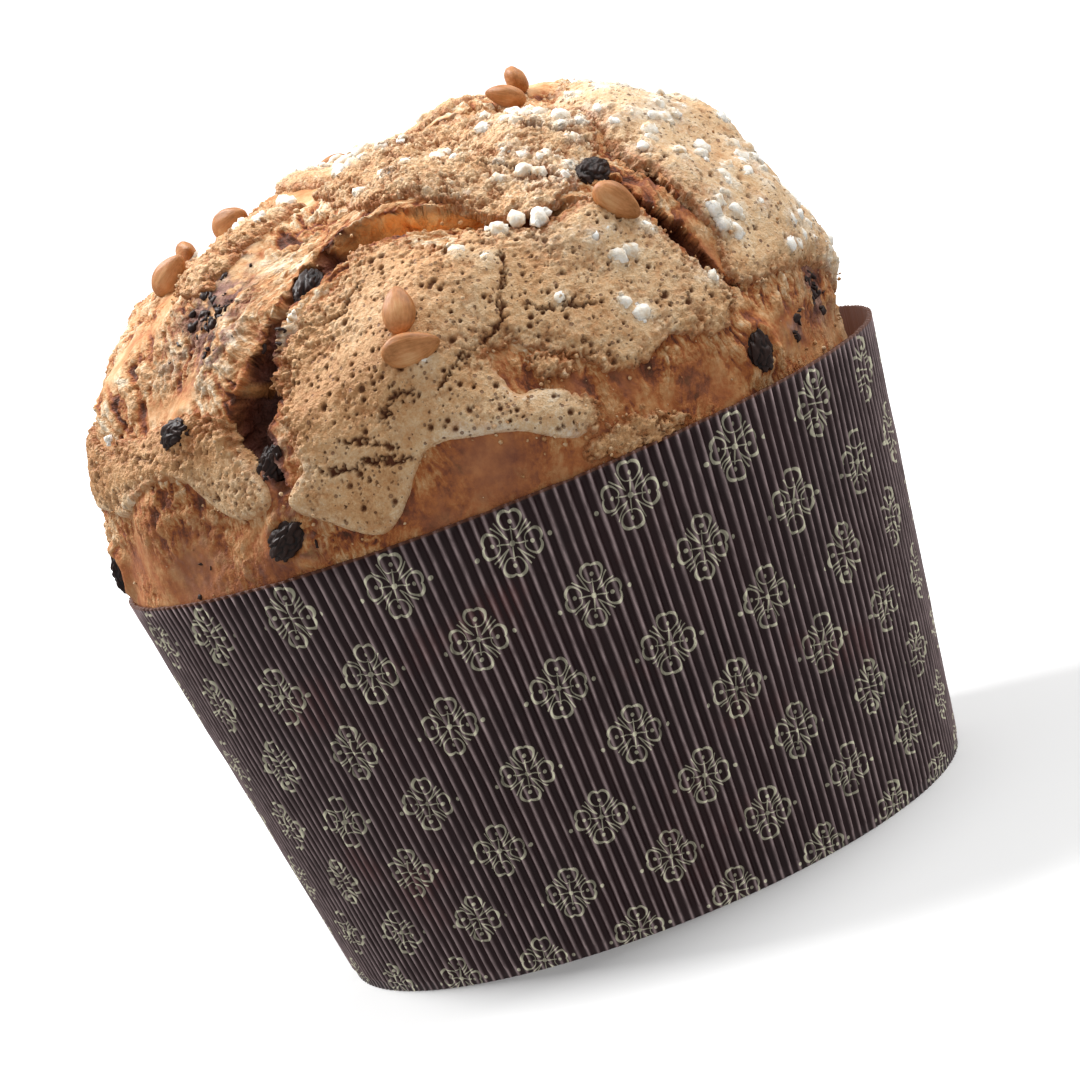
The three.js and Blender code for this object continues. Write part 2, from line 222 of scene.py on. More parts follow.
def case_mesh():
    """A sheet rolled up along a profile of the wall and base; then its outside is pressed into flutes."""
    bm = bmesh.new()
    liner_foot = CASE_BASE_RADIUS - FLUTE_DEPTH - LINER_THICKNESS
    wall = [(CASE_BASE_RADIUS + CASE_SLOPE * z, z) for z in np.linspace(0.001, CASE_HEIGHT, FLUTE_ROWS)]
    hem = [
        (CASE_BASE_RADIUS + CASE_SLOPE * z, z)
        for z in (0.8 * HEM_HEIGHT, HEM_HEIGHT, 1.15 * HEM_HEIGHT)]
    wall = sorted(wall + hem, key=lambda place: place[1])
    rim = [(liner_foot + CASE_SLOPE * CASE_HEIGHT, CASE_HEIGHT)]
    liner = [
        (liner_foot + CASE_SLOPE * z, z)
        for z in (0.66 * CASE_HEIGHT, 0.33 * CASE_HEIGHT, BASE_THICKNESS)]
    profile = [(0, 0)] + wall + rim + liner + [(0, BASE_THICKNESS)]
    bmesh.ops.create_grid(bm, x_segments=FLUTE_COUNT * FLUTE_COLUMNS, y_segments=len(profile) - 1, size=0.5)
    for vertex in bm.verts:
        radius, height = profile[round((vertex.co.y + 0.5) * (len(profile) - 1))]
        turn = 2 * math.pi * vertex.co.x
        vertex.co = Vector((radius * math.sin(turn), -radius * math.cos(turn), height)) * MM
    bmesh.ops.remove_doubles(bm, verts=bm.verts, dist=1e-6)
    bmesh.ops.recalc_face_normals(bm, faces=bm.faces)
    mesh = mesh_of(bm, "paper_case_sheet")
    points = read_points(mesh)
    radius = np.hypot(points[:, 0], points[:, 1])
    height = points[:, 2]
    turn = np.arctan2(points[:, 0], -points[:, 1])
    outer = radius > CASE_BASE_RADIUS + CASE_SLOPE * height - 0.5 * FLUTE_DEPTH
    ring = MEAN_RADIUS * np.stack([np.sin(turn), np.cos(turn), np.zeros(len(turn))], axis=1)
    upright = ring + np.stack([np.zeros_like(turn), np.zeros_like(turn), height], axis=1)
    waver = 0.10 * noise(upright * (1, 1, 0.12), 4, 31) + 0.05 * noise(upright * (1, 1, 0.3), 2, 32)
    crest = (0.5 + 0.5 * np.cos(FLUTE_COUNT * turn + 2 * math.pi * waver)) ** 1.7
    pressed = 1 + 0.22 * noise(ring, 2.5, 33) + 0.2 * noise(upright * (1, 1, 0.25), 7, 34)
    pressed *= 1 - 0.75 * (1 - ease(0.8 * HEM_HEIGHT, 1.2 * HEM_HEIGHT, height))
    depth = FLUTE_DEPTH * np.clip(pressed, 0.2, 1.15)
    inwards = outer * depth * (1 - crest)
    inwards += outer * HEM_DEPTH * (1 - ease(0.9 * HEM_HEIGHT, 1.1 * HEM_HEIGHT, height)) * (height > 0)
    bulge = 0.35 * noise(upright, 30, 35) + 0.12 * noise(upright, 9, 36)
    bulge = bulge * ease(4, 40, height)
    worn_rim = 0.35 * np.clip(noise(ring, 5, 37), 0, 1) + 0.15 * np.abs(noise(ring, 1.2, 38))
    points[:, 2] -= (height > CASE_HEIGHT - 0.5) * worn_rim
    scale = (radius - inwards + bulge - SHEET_INSET) / np.maximum(radius, 1)
    scale = np.where(radius > 20, scale, 1)
    points[:, :2] *= scale[:, None]
    write_points(mesh, points)
    write_values(mesh, "crest", np.where(outer, crest, 0.3))
    write_values(mesh, "inner", 1.0 - outer)
    return mesh


# The print: rows of four-petalled flowers, each row set half a step round from the next.
PRINT_STEP_DEG = 180 / 21
PRINT_START_DEG = -2.7
PRINT_LEAN_DEG = 0.044
PRINT_TOP_ROW = 103.5
PRINT_ROW_STEP = 19.4
PRINT_ROW_GAIN = 0.42
FLOWER_CELL = 14.2
FLOWER_STRETCH = 1.16
FLOWER_TURN = 0.19


def printed_ink(tree, place):
    """How much gold ink there is: 1 on the lines of the flowers and on the dots between them."""
    x, y, z = (add(tree, "SeparateXYZ", place, out=i) for i in range(3))
    toward = add(tree, "Math", y, -1.0, operation="MULTIPLY")
    turn = add(tree, "Math", x, toward, operation="ARCTAN2")
    degrees = add(tree, "Math", turn, math.degrees(1), operation="MULTIPLY")
    # The rows close up a little towards the foot, so the row number comes from a square root.
    drop = add(tree, "Math", z, -1 / MM, PRINT_TOP_ROW, operation="MULTIPLY_ADD")
    root = add(tree, "Math", drop, -4 * PRINT_ROW_GAIN, PRINT_ROW_STEP ** 2, operation="MULTIPLY_ADD")
    root = add(tree, "Math", root, operation="SQRT")
    row = add(tree, "Math", PRINT_ROW_STEP, root, operation="SUBTRACT")
    row = add(tree, "Math", row, 2 * PRINT_ROW_GAIN, operation="DIVIDE")
    leaning = add(tree, "Math", drop, PRINT_LEAN_DEG, degrees, operation="MULTIPLY_ADD")
    column = add(tree, "Math", leaning, PRINT_START_DEG, operation="SUBTRACT")
    column = add(tree, "Math", column, PRINT_STEP_DEG, operation="DIVIDE")

    # Flowers stand where column and row are both even or both odd: half their sum and difference are whole.
    total = add(tree, "Math", column, row, operation="ADD")
    difference = add(tree, "Math", column, row, operation="SUBTRACT")
    halves = [add(tree, "Math", value, 0.5, operation="MULTIPLY") for value in (total, difference)]
    whole = [add(tree, "Math", value, operation="ROUND") for value in halves]
    off = [add(tree, "Math", *pair, operation="SUBTRACT") for pair in zip(halves, whole)]
    across = add(tree, "Math", *off, operation="ADD")
    across = add(tree, "Math", across, FLOWER_CELL, operation="MULTIPLY")
    up = add(tree, "Math", off[1], off[0], operation="SUBTRACT")
    up = add(tree, "Math", up, FLOWER_CELL * FLOWER_STRETCH, operation="MULTIPLY")
    kind = add(tree, "Math", whole[0], 2.0, operation="FLOORED_MODULO")

    # A flower's angles are folded onto one petal, and between the petals onto one leaf.
    length = add(tree, "Math", up, up, operation="MULTIPLY")
    length = add(tree, "Math", across, across, length, operation="MULTIPLY_ADD")
    length = add(tree, "Math", length, operation="SQRT")
    angle = add(tree, "Math", up, across, operation="ARCTAN2")
    angle = add(tree, "Math", angle, FLOWER_TURN, operation="ADD")
    petal = add(tree, "Math", angle, math.pi / 2, operation="DIVIDE")
    petal = add(tree, "Math", petal, operation="ROUND")
    quarter = add(tree, "Math", petal, -math.pi / 2, angle, operation="MULTIPLY_ADD")
    eighth = add(tree, "Math", quarter, operation="ABSOLUTE")
    eighth = add(tree, "Math", eighth, math.pi / 4, operation="SUBTRACT")
    shares = [add(tree, "Math", value, operation=name)
              for value in (quarter, eighth) for name in ("COSINE", "SINE")]
    petal_along, petal_side, leaf_along, leaf_side = (
        add(tree, "Math", length, share, operation="MULTIPLY")
        for share in shares)
    petal_side = add(tree, "Math", petal_side, operation="ABSOLUTE")
    leaf_side = add(tree, "Math", leaf_side, operation="ABSOLUTE")

    # A petal is a ring drawn in at its outer end.
    notch = add(tree, "Math", petal_side, -1.6, operation="MULTIPLY")
    notch = add(tree, "Math", notch, operation="EXPONENT")
    notch = add(tree, "Math", notch, 0.35, 1.0, operation="MULTIPLY_ADD")
    ring_x = add(tree, "Math", petal_along, 4.7, operation="SUBTRACT")
    ring_x = add(tree, "Math", ring_x, 2.2, operation="DIVIDE")
    ring_x = add(tree, "Math", ring_x, notch, operation="MULTIPLY")
    ring_y = add(tree, "Math", petal_along, 0.24, 1.35, operation="MULTIPLY_ADD")
    ring_y = add(tree, "Math", petal_side, ring_y, operation="DIVIDE")
    ring = add(tree, "Math", ring_y, ring_y, operation="MULTIPLY")
    ring = add(tree, "Math", ring_x, ring_x, ring, operation="MULTIPLY_ADD")
    ring = add(tree, "Math", ring, operation="SQRT")
    ring = add(tree, "Math", ring, 1.0, operation="SUBTRACT")
    ring = add(tree, "Math", ring, operation="ABSOLUTE")
    ring = add(tree, "Math", ring, 2.3, operation="MULTIPLY")
    ring_width = add(tree, "Math", petal_along, 0.05, -0.02, operation="MULTIPLY_ADD")
    stem = add(tree, "Math", petal_along, 2.1, operation="SUBTRACT")
    stem = add(tree, "Math", stem, operation="ABSOLUTE")
    stem = add(tree, "Math", stem, 1.3, operation="SUBTRACT")
    stem = add(tree, "Math", petal_side, stem, operation="MAXIMUM")
    bud = add(tree, "Math", petal_along, 4.5, operation="SUBTRACT")
    bud = add(tree, "Math", bud, 2.0, operation="POWER")
    bud = add(tree, "Math", petal_side, petal_side, bud, operation="MULTIPLY_ADD")
    bud = add(tree, "Math", bud, operation="SQRT")

    # A pair of bowed leaves stands between two petals, wider apart on every other flower.
    bow = add(tree, "Math", leaf_along, 1.6, operation="SUBTRACT")
    spread = add(tree, "Math", kind, 0.1, 0.14, operation="MULTIPLY_ADD")
    bow = add(tree, "Math", bow, spread, operation="MULTIPLY")
    bow = add(tree, "Math", leaf_side, bow, operation="SUBTRACT")
    bow = add(tree, "Math", bow, operation="ABSOLUTE")
    leaf = add(tree, "Math", leaf_along, 3.6, operation="SUBTRACT")
    leaf = add(tree, "Math", leaf, operation="ABSOLUTE")
    leaf = add(tree, "Math", leaf, 2.1, operation="SUBTRACT")
    leaf = add(tree, "Math", bow, leaf, operation="MAXIMUM")
    dot_x = add(tree, "Math", across, operation="ABSOLUTE")
    dot_x = add(tree, "Math", dot_x, 8.6, operation="SUBTRACT")
    dot = add(tree, "Math", up, 0.8, operation="ADD")
    dot = add(tree, "Math", dot, 2.0, operation="POWER")
    dot = add(tree, "Math", dot_x, dot_x, dot, operation="MULTIPLY_ADD")
    dot = add(tree, "Math", dot, operation="SQRT")

    ink = 0.0
    for distance, half_width in ((ring, ring_width), (stem, 0.13), (bud, 0.46), (leaf, 0.14), (dot, 0.5),
                                 (length, 0.6)):
        beyond = add(tree, "Math", distance, half_width, operation="SUBTRACT")
        line = add(tree, "MapRange", {"Value": beyond, "From Min": -0.06, "From Max": 0.07, "To Min": 1.0,
                                      "To Max": 0.0})
        ink = add(tree, "Math", ink, line, operation="MAXIMUM")
    return ink


# Coated kraft paper keeps a low sheen, IOR 1.45 and roughness 0.5; its crests are paler, partly rubbed
# and partly a painted highlight, and its ink is painted dimmer in the valleys as painted shade.
paper, paper_shader = new_material("printed_kraft_paper", Roughness=0.5, IOR=1.45, Specular_IOR_Level=0.25)
tree = paper.node_tree
place = add(tree, "TexCoord", out=3)
crest = add(tree, "Attribute", out=2, attribute_name="crest")
inner = add(tree, "Attribute", out=2, attribute_name="inner")
ink = printed_ink(tree, place)
blotches = add(tree, "TexNoise", {"Vector": place, "Scale": 1 / (22.222 * MM), "Detail": 3.0,
                                  "Roughness": 0.6})
fibre_place = add(tree, "Mapping", {"Vector": place, "Scale": (1, 1, 0.15)})
fibres = add(tree, "TexNoise", {"Vector": fibre_place, "Scale": 1 / (1.1111 * MM), "Detail": 3.0,
                                "Roughness": 0.65})
ground = add(tree, "Mix", {0: blotches, 6: "#14080a", 7: "#2e1517"}, out=2, data_type="RGBA")
# Painted highlight: the crests are mixed towards pale grey-pink, broken up by the fibre noise like wear.
crest_highlight = add(tree, "Math", crest, 3.0, operation="POWER")
wear_and_crest_highlight = add(tree, "MapRange", {"Value": fibres, "From Min": 0.35, "From Max": 0.75, "To Min": 0.35,
                              "To Max": 1.0})
wear_and_crest_highlight = add(tree, "Math", crest_highlight, wear_and_crest_highlight, operation="MULTIPLY")
ground = add(tree, "Mix", {0: wear_and_crest_highlight, 6: ground, 7: "#bba4a4"}, out=2, data_type="RGBA")
patch_place = add(tree, "Mapping", {"Vector": place, "Scale": (1, 1, 1.6)})
red_patch = add(tree, "TexNoise", {"Vector": patch_place, "Scale": 1 / (35.714 * MM), "Detail": 2.0,
                                   "Roughness": 0.5})
red_share = add(tree, "MapRange", {"Value": red_patch, "From Min": 0.62, "From Max": 0.78, "To Min": 0.0,
                                   "To Max": 0.5})
red_share = add(tree, "Math", red_share, crest, operation="MULTIPLY")
ground = add(tree, "Mix", {0: red_share, 6: ground, 7: "#7c403c"}, out=2, data_type="RGBA")
# Painted shade: the ink fades towards the valleys of the flutes; the fibre noise breaks it up like wear.
ink_wear_and_valley_shade = add(tree, "MapRange", {"Value": fibres, "From Min": 0.3, "From Max": 0.6, "To Min": 0.35,
                                  "To Max": 1.0})
valley_shade_on_ink = add(tree, "Math", crest, 0.62, 0.38, operation="MULTIPLY_ADD")
ink_wear_and_valley_shade = add(tree, "Math", ink_wear_and_valley_shade, valley_shade_on_ink, operation="MULTIPLY")
ink = add(tree, "Math", ink, ink_wear_and_valley_shade, operation="MULTIPLY")
printed = add(tree, "Mix", {0: ink, 6: ground, 7: "#f5f1d2"}, out=2, data_type="RGBA")
height = add(tree, "SeparateXYZ", place, out=2)
top_edge = add(tree, "MapRange", {"Value": height, "From Min": (CASE_HEIGHT - 0.9) * MM,
                                  "From Max": (CASE_HEIGHT - 0.5) * MM, "To Min": 0.0, "To Max": 0.7})
bare_share = add(tree, "Math", inner, top_edge, operation="MAXIMUM")
bare = add(tree, "Mix", {0: blotches, 6: "#4a2417", 7: "#7a4a30"}, out=2, data_type="RGBA")
colour = add(tree, "Mix", {0: bare_share, 6: printed, 7: bare}, out=2, data_type="RGBA")
tree.links.new(colour, paper_shader.inputs["Base Color"])
bump = add(tree, "Bump", {"Strength": 0.35, "Distance": 0.12 * MM, "Height": fibres})
tree.links.new(bump, paper_shader.inputs["Normal"])

case = add_piece("paper_case_sheet", case_mesh(), paper)
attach(case, "root")
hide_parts("paper_case")


# Bread
# The loaf itself, a soft sweet dough with raisins. It filled the case, rose over the rim and split, so its
# crust is torn in fibres and flakes round the splits, red-brown low down and pale where it was covered.

DOME_RISE = 82
DOME_SQUARENESS = 2.15
GLAZE_THICKNESS = 1.8
PIECE_GAP = 0.3
BARE_SUNK = 0.45
COVERED_SUNK = 0.9
LUMPS = [((-90, 35), 6.5, 26), ((88, 53), 9, 26), ((88, 14), -5, 16)]
SHRINK_AZIMUTH, SHRINK_AMOUNT, SHRINK_WIDTH = 88, 6.5, 42
SWELLS = [(1.3, (11, -7, 5), 0.4), (1.1, (-6, 13, 9), 2.1), (0.8, (15, 10, -12), 4.0)]
BREAD_FLOOR = BASE_THICKNESS + PIECE_GAP
DOME_CENTRE = np.array([0, 0, CASE_HEIGHT])
MAP_RADIUS = 97
SPLITS = [
    {"path": [(-29, 38), (-25, 43), (-20, 46), (-13, 48.5), (-5, 47.5), (2, 46), (10, 45.5), (15, 43),
              (20, 38.5), (30, 36)],
     "half": 5.4, "depth": 6.5},
    {"path": [(37, 40), (40, 36), (39.5, 31), (40, 27), (41, 22), (41.5, 17), (45, 13)], "half": 2.2,
     "depth": 8},
    {"path": [(48, 41), (46.5, 36), (45, 30), (47, 24)], "half": 1.6, "depth": 5},
    {"path": [(-28, 38), (-32, 34), (-32.5, 25), (-36, 20), (-33, 16), (-30, 11)], "half": 4.4, "depth": 9},
    {"path": [(9, 27), (11, 23), (16, 15)], "half": 1.5, "depth": 3},
    {"path": [(38, 78), (46, 75), (62, 70)], "half": 1.4, "depth": 5},
    {"path": [(118, 8), (124, 26), (118, 42), (124, 58)], "half": 3, "depth": 9},
    {"path": [(164, 6), (166, 26), (160, 46), (170, 62)], "half": 3.8, "depth": 11},
    {"path": [(-148, 8), (-140, 26), (-148, 44), (-140, 60)], "half": 3.4, "depth": 10},
    {"path": [(-96, 10), (-92, 28), (-100, 44), (-88, 60)], "half": 2.6, "depth": 8},
]


def direction(azimuth, elevation):
    """The way out from the dome's centre: azimuth 0 is the front and 90 the right, in degrees."""
    az, el = np.radians(azimuth), np.radians(elevation)
    return np.stack([np.cos(el) * np.sin(az), -np.cos(el) * np.cos(az), np.sin(el)], axis=-1)


def directions(places):
    """The ways out of a list of (azimuth, elevation)."""
    return direction(*np.array(places, float).T)


def angles(ways):
    azimuth = np.degrees(np.arctan2(ways[:, 0], -ways[:, 1]))
    return azimuth, np.degrees(np.arcsin(np.clip(ways[:, 2], -1, 1)))


def turn_between(a, b):
    return np.abs((a - b + 180) % 360 - 180)


def crust_reach(ways):
    """How far the smooth crust is from the dome's centre; below the rim it follows the case."""
    azimuth, elevation = angles(ways)
    across = np.hypot(ways[:, 0], ways[:, 1]) + 1e-6
    shrink = SHRINK_AMOUNT * hill(turn_between(azimuth, SHRINK_AZIMUTH), SHRINK_WIDTH)
    rim = CASE_RIM_RADIUS - FLUTE_DEPTH - LINER_THICKNESS - PIECE_GAP
    pulled = shrink * hill(elevation, 9)
    down = np.minimum(ways[:, 2], 0)
    to_wall = (rim - pulled) / (across - CASE_SLOPE * down)
    below = np.minimum(to_wall, (CASE_HEIGHT - BREAD_FLOOR) / np.maximum(-down, 1e-6))
    up = np.maximum(ways[:, 2], 1e-6)
    power = DOME_SQUARENESS
    swell = np.zeros(len(ways))
    for at, amount, spread in LUMPS:
        apart = np.degrees(np.arccos(np.clip(ways @ direction(*at), -1, 1)))
        swell += amount * hill(apart, spread)
    for amplitude, wave, phase in SWELLS:
        swell += amplitude * np.sin(ways @ np.array(wave) + phase)
    above = ((across / rim) ** power + (up / DOME_RISE) ** power) ** (-1 / power)
    above += swell * np.minimum(1, elevation / 12) - pulled
    return np.where(ways[:, 2] <= 0, below, above)


def tangents(middle):
    east = np.cross((0, 0, 1), middle)
    east /= np.linalg.norm(east)
    return east, np.cross(middle, east)


def to_flat(ways, middle):
    """Directions laid flat round a middle one, in millimetres on the crust."""
    east, north = tangents(middle)
    angle = np.arccos(np.clip(ways @ middle, -1, 1))
    flat = np.stack([ways @ east, ways @ north], axis=1)
    return flat * (MAP_RADIUS * angle / np.maximum(np.linalg.norm(flat, axis=1), 1e-9))[:, None]


def from_flat(flat, middle):
    east, north = tangents(middle)
    distance = np.maximum(np.linalg.norm(flat, axis=1), 1e-9)
    angle = distance / MAP_RADIUS
    aside = (flat[:, :1] * east + flat[:, 1:] * north) / distance[:, None]
    return np.cos(angle)[:, None] * middle + np.sin(angle)[:, None] * aside


def smooth_path(points, closed, rounds=3):
    """Chaikin's corner cutting, as many times as rounds says."""
    points = np.array(points, float)
    for _ in range(rounds):
        after = np.roll(points, -1, axis=0)
        cut = np.stack([0.75 * points + 0.25 * after, 0.25 * points + 0.75 * after],
                       axis=1).reshape(-1, points.shape[1])
        points = cut if closed else np.concatenate([points[:1], cut[:-2], points[-1:]])
    return points


def path_distance(points, path):
    """Distance to an open path, and how far along it the nearest place is, from 0 to 1."""
    best = np.full(len(points), 1e9)
    along = np.zeros(len(points))
    steps = np.linalg.norm(np.diff(path, axis=0), axis=1)
    passed = np.concatenate([[0], np.cumsum(steps)])
    for i, (start, end) in enumerate(zip(path, path[1:])):
        edge = end - start
        share = np.clip((points - start) @ edge / max(edge @ edge, 1e-12), 0, 1)
        apart = np.linalg.norm(points - start - share[:, None] * edge, axis=1)
        nearer = apart < best
        best = np.where(nearer, apart, best)
        along = np.where(nearer, (passed[i] + share * steps[i]) / passed[-1], along)
    return best, along


def split_depths(ways, points):
    """How deep the splits are here, and how far across one a place is: 0 midway, 1 at its edge."""
    ragged = shifts(points, 5, 60, 3, 0.6)
    moved = points + 1.1 * ragged
    moved /= np.linalg.norm(moved, axis=1, keepdims=True)
    deepest = np.zeros(len(ways))
    nearness = np.full(len(ways), 9.0)
    for split in SPLITS:
        path = smooth_path(directions(split["path"]), False, 2)
        path /= np.linalg.norm(path, axis=1, keepdims=True)
        middle = path.mean(axis=0)
        close = np.flatnonzero(moved @ middle > (path @ middle).min() - 0.12)
        distance, along = path_distance(moved[close], path)
        fullness = np.sqrt(np.clip(np.sin(math.pi * np.clip(along, 0.02, 0.98)), 0, 1))
        half = split["half"] * fullness * (1 + 0.3 * np.sin(9 * along + split["depth"]))
        across = distance * MAP_RADIUS / np.maximum(half, 0.2)
        depth = split["depth"] * fullness * np.sqrt(np.clip(1 - np.clip(across, 0, 1) ** 2.6, 0, 1))
        deepest[close] = np.maximum(deepest[close], depth)
        nearness[close] = np.minimum(nearness[close], across)
    return deepest, nearness


# Plates of glaze, as outlines of (azimuth, elevation); between them the crust of the bread is bare.
PLATES = {
    "front": [
        (-25, 35), (-22, 38), (-17, 40), (-13, 41.5), (-12, 45), (-7, 43), (-3, 43), (-1, 42), (2, 38.5),
        (6, 39), (9, 41), (14, 38.5), (20, 35), (25, 34), (30, 35.5), (36, 35), (37.5, 30), (38.5, 26),
        (38.5, 21), (40, 18), (43, 13), (40, 10.5), (35, 9.5), (29, 12), (25, 10), (20, 10), (16, 13),
        (13, 16), (9, 20.5), (6, 19), (2, 20.5), (4, 17), (5, 12.5), (8, 12.5), (13, 10), (15, 7),
        (13, 4), (9, 5), (4, 8), (-3, 10.5), (-9, 10.5), (-12, 8), (-14, 4), (-18, 1.5), (-24, 4.5),
        (-31, 9), (-28, 12), (-26, 13), (-27, 16), (-29, 22), (-28, 25), (-30, 26.5), (-28, 31)],
    "front_left": [
        (-88, 24), (-76, 26), (-70, 22), (-64, 23), (-58, 24.5), (-50, 26), (-42, 24), (-38, 22),
        (-37, 19), (-33, 13), (-33, 10), (-38, 9), (-43, 10), (-47, 14.5), (-50, 17.5), (-56, 17.5),
        (-61, 15.5), (-66, 13), (-74, 14), (-84, 14)],
    "top": [
        (-16, 60), (-12, 56), (-4, 52), (3, 51.5), (8, 49), (14, 46), (19, 40), (23, 37.5), (28, 37.5),
        (34, 39), (40, 41.5), (47, 44.5), (54, 49), (60, 54), (58, 66), (46, 73), (20, 76), (-50, 72),
        (-30, 66)],
    "right": [
        (62, 58), (54, 48), (49, 42), (47, 36), (47, 30), (46, 26), (48, 22), (44, 19), (44, 16),
        (46, 13.5), (50, 12.5), (56, 13.5), (63, 12), (68, 11), (72, 8), (78, 4), (94, 8), (112, 12),
        (120, 24), (112, 40), (98, 54), (82, 60), (70, 58)],
    "shoulder": [
        (-62, 46), (-52, 45), (-47, 50), (-48, 57), (-42, 65), (-56, 70), (-84, 68), (-96, 60), (-92, 52),
        (-80, 49)],
    "rim_scrap": [(10, 1), (12, 3.5), (17, 4.5), (22, 3.5), (27, 1.5), (26, 0), (18, -1)],
    "island_left": [(8, 15), (9, 17.5), (11, 17.5), (14.5, 14), (13.5, 12.5), (9.5, 12.5)],
    "island_right": [(13, 17.5), (17, 14.8), (18, 12), (24, 13), (27, 11.5), (21, 16), (17, 18)],
    "crown": [(36, 79), (70, 73), (110, 64), (150, 66), (-170, 62), (-120, 66), (-66, 74)],
    "back_right": [
        (124, 12), (144, 8), (160, 14), (164, 28), (158, 44), (140, 56), (118, 54), (120, 40), (128, 26)],
    "back": [
        (170, 10), (-170, 6), (-152, 12), (-146, 26), (-152, 40), (-166, 54), (174, 56), (168, 42),
        (172, 26)],
    "back_left": [
        (-142, 14), (-126, 8), (-106, 12), (-98, 22), (-104, 36), (-118, 46), (-136, 52), (-144, 40),
        (-136, 26)]}


def plate_middle(outline):
    middle = directions(outline).mean(axis=0)
    return middle / np.linalg.norm(middle)


def inside_distance(flat, outline):
    """Distance inwards from a closed flat outline, negative outside it."""
    best = np.full(len(flat), 1e9)
    within = np.zeros(len(flat), bool)
    for start, end in zip(outline, np.roll(outline, -1, axis=0)):
        edge = end - start
        share = np.clip((flat - start) @ edge / max(edge @ edge, 1e-12), 0, 1)
        best = np.minimum(best, np.linalg.norm(flat - start - share[:, None] * edge, axis=1))
        crosses = (start[1] > flat[:, 1]) != (end[1] > flat[:, 1])
        if start[1] != end[1]:
            within ^= crosses & (flat[:, 0] < start[0] + (flat[:, 1] - start[1]) * edge[0] / edge[1])
    return np.where(within, best, -best)


def plate_cover(ways):
    """Distance inwards from the edge of whichever plate covers a place, negative where none does."""
    cover = np.full(len(ways), -1e3)
    for outline in PLATES.values():
        middle = plate_middle(outline)
        reach = (directions(outline) @ middle).min()
        close = np.flatnonzero(ways @ middle > reach - 0.12)
        flat_outline = smooth_path(to_flat(directions(outline), middle), True, 2)
        cover[close] = np.maximum(cover[close], inside_distance(to_flat(ways[close], middle), flat_outline))
    return cover


def near_any(ways, spots):
    """How strongly soft spots reach each place, from ((azimuth, elevation), radius in mm, strength)."""
    total = np.zeros(len(ways))
    for at, radius, strength in spots:
        apart = MAP_RADIUS * np.arccos(np.clip(ways @ direction(*at), -1, 1))
        total = np.maximum(total, strength * hill(apart, radius))
    return total


BERRY_STAINS = [
    ((-48, 42), 12, 1.0), ((-52, 50), 9, 0.9), ((-43, 35), 8, 0.9), ((-56, 36), 7, 0.45),
    ((64, 8), 8, 1.0), ((52, 5), 5, 0.9), ((-33, 16), 6, 1.0), ((-31, 5), 6, 0.9), ((-30, 33), 5, 0.8),
    ((-41, 1), 6, 0.35), ((-50, 4), 12, 0.3), ((122, 24), 7, 0.9), ((164, 34), 8, 0.8),
    ((-145, 10), 8, 0.7), ((44, 75), 5, 0.9)]
DARK_CRUST = [
    ((-1, 4), 16, 0.85), ((14, 2), 8, 0.8), ((30, 5), 9, 0.55), ((24, 8), 6, 0.4), ((-10, 1), 10, 0.7),
    ((62, 9), 9, 0.45), ((-60, 11), 10, 0.45), ((-50, 2), 13, 0.75), ((-72, 4), 10, 0.6),
    ((-36, 2), 8, 0.7), ((6, 17), 6, 0.6), ((13, 11), 5, 0.6), ((20, 9), 6, 0.6), ((43, 33), 4, 0.6),
    ((44, 26), 4, 0.6), ((43, 20), 4, 0.6), ((-32, 13), 5, 0.7), ((-33, 20), 5, 0.6), ((130, 2), 20, 0.7),
    ((-170, 0), 20, 0.7), ((-120, 2), 20, 0.6)]
ROUGH_CRUST = [((62, 9), 12, 1.0), ((26, 10), 9, 1.0), ((40, 8), 10, 0.9), ((8, 17), 6, 1.0)]
GOLDEN_CRUST = [
    ((38, 7), 11, 1.0), ((52, 9), 9, 1.0), ((72, 3), 9, 0.9), ((22, 9), 10, 1.0), ((-60, 12), 12, 0.7),
    ((-68, 34), 8, 0.6), ((-50, 28), 7, 0.5), ((-78, 40), 9, 0.5)]

# Direction, turn and how far each raisin is sunk; the crust swells in a ring round those that lie shallow.
RAISINS = [
    ((39, 40), 20, 1.5), ((-25, 42), 70, 4.5), ((-49, 23), 10, 1), ((-33, 15), 60, 5), ((-32, 5), 30, 1.5),
    ((42, 5), 75, 2), ((-81, 5), 80, 2), ((123, 25), 80, 4), ((-150, 6), 0, 1.5), ((165, 36), 60, 5)]
SHALLOW = 3


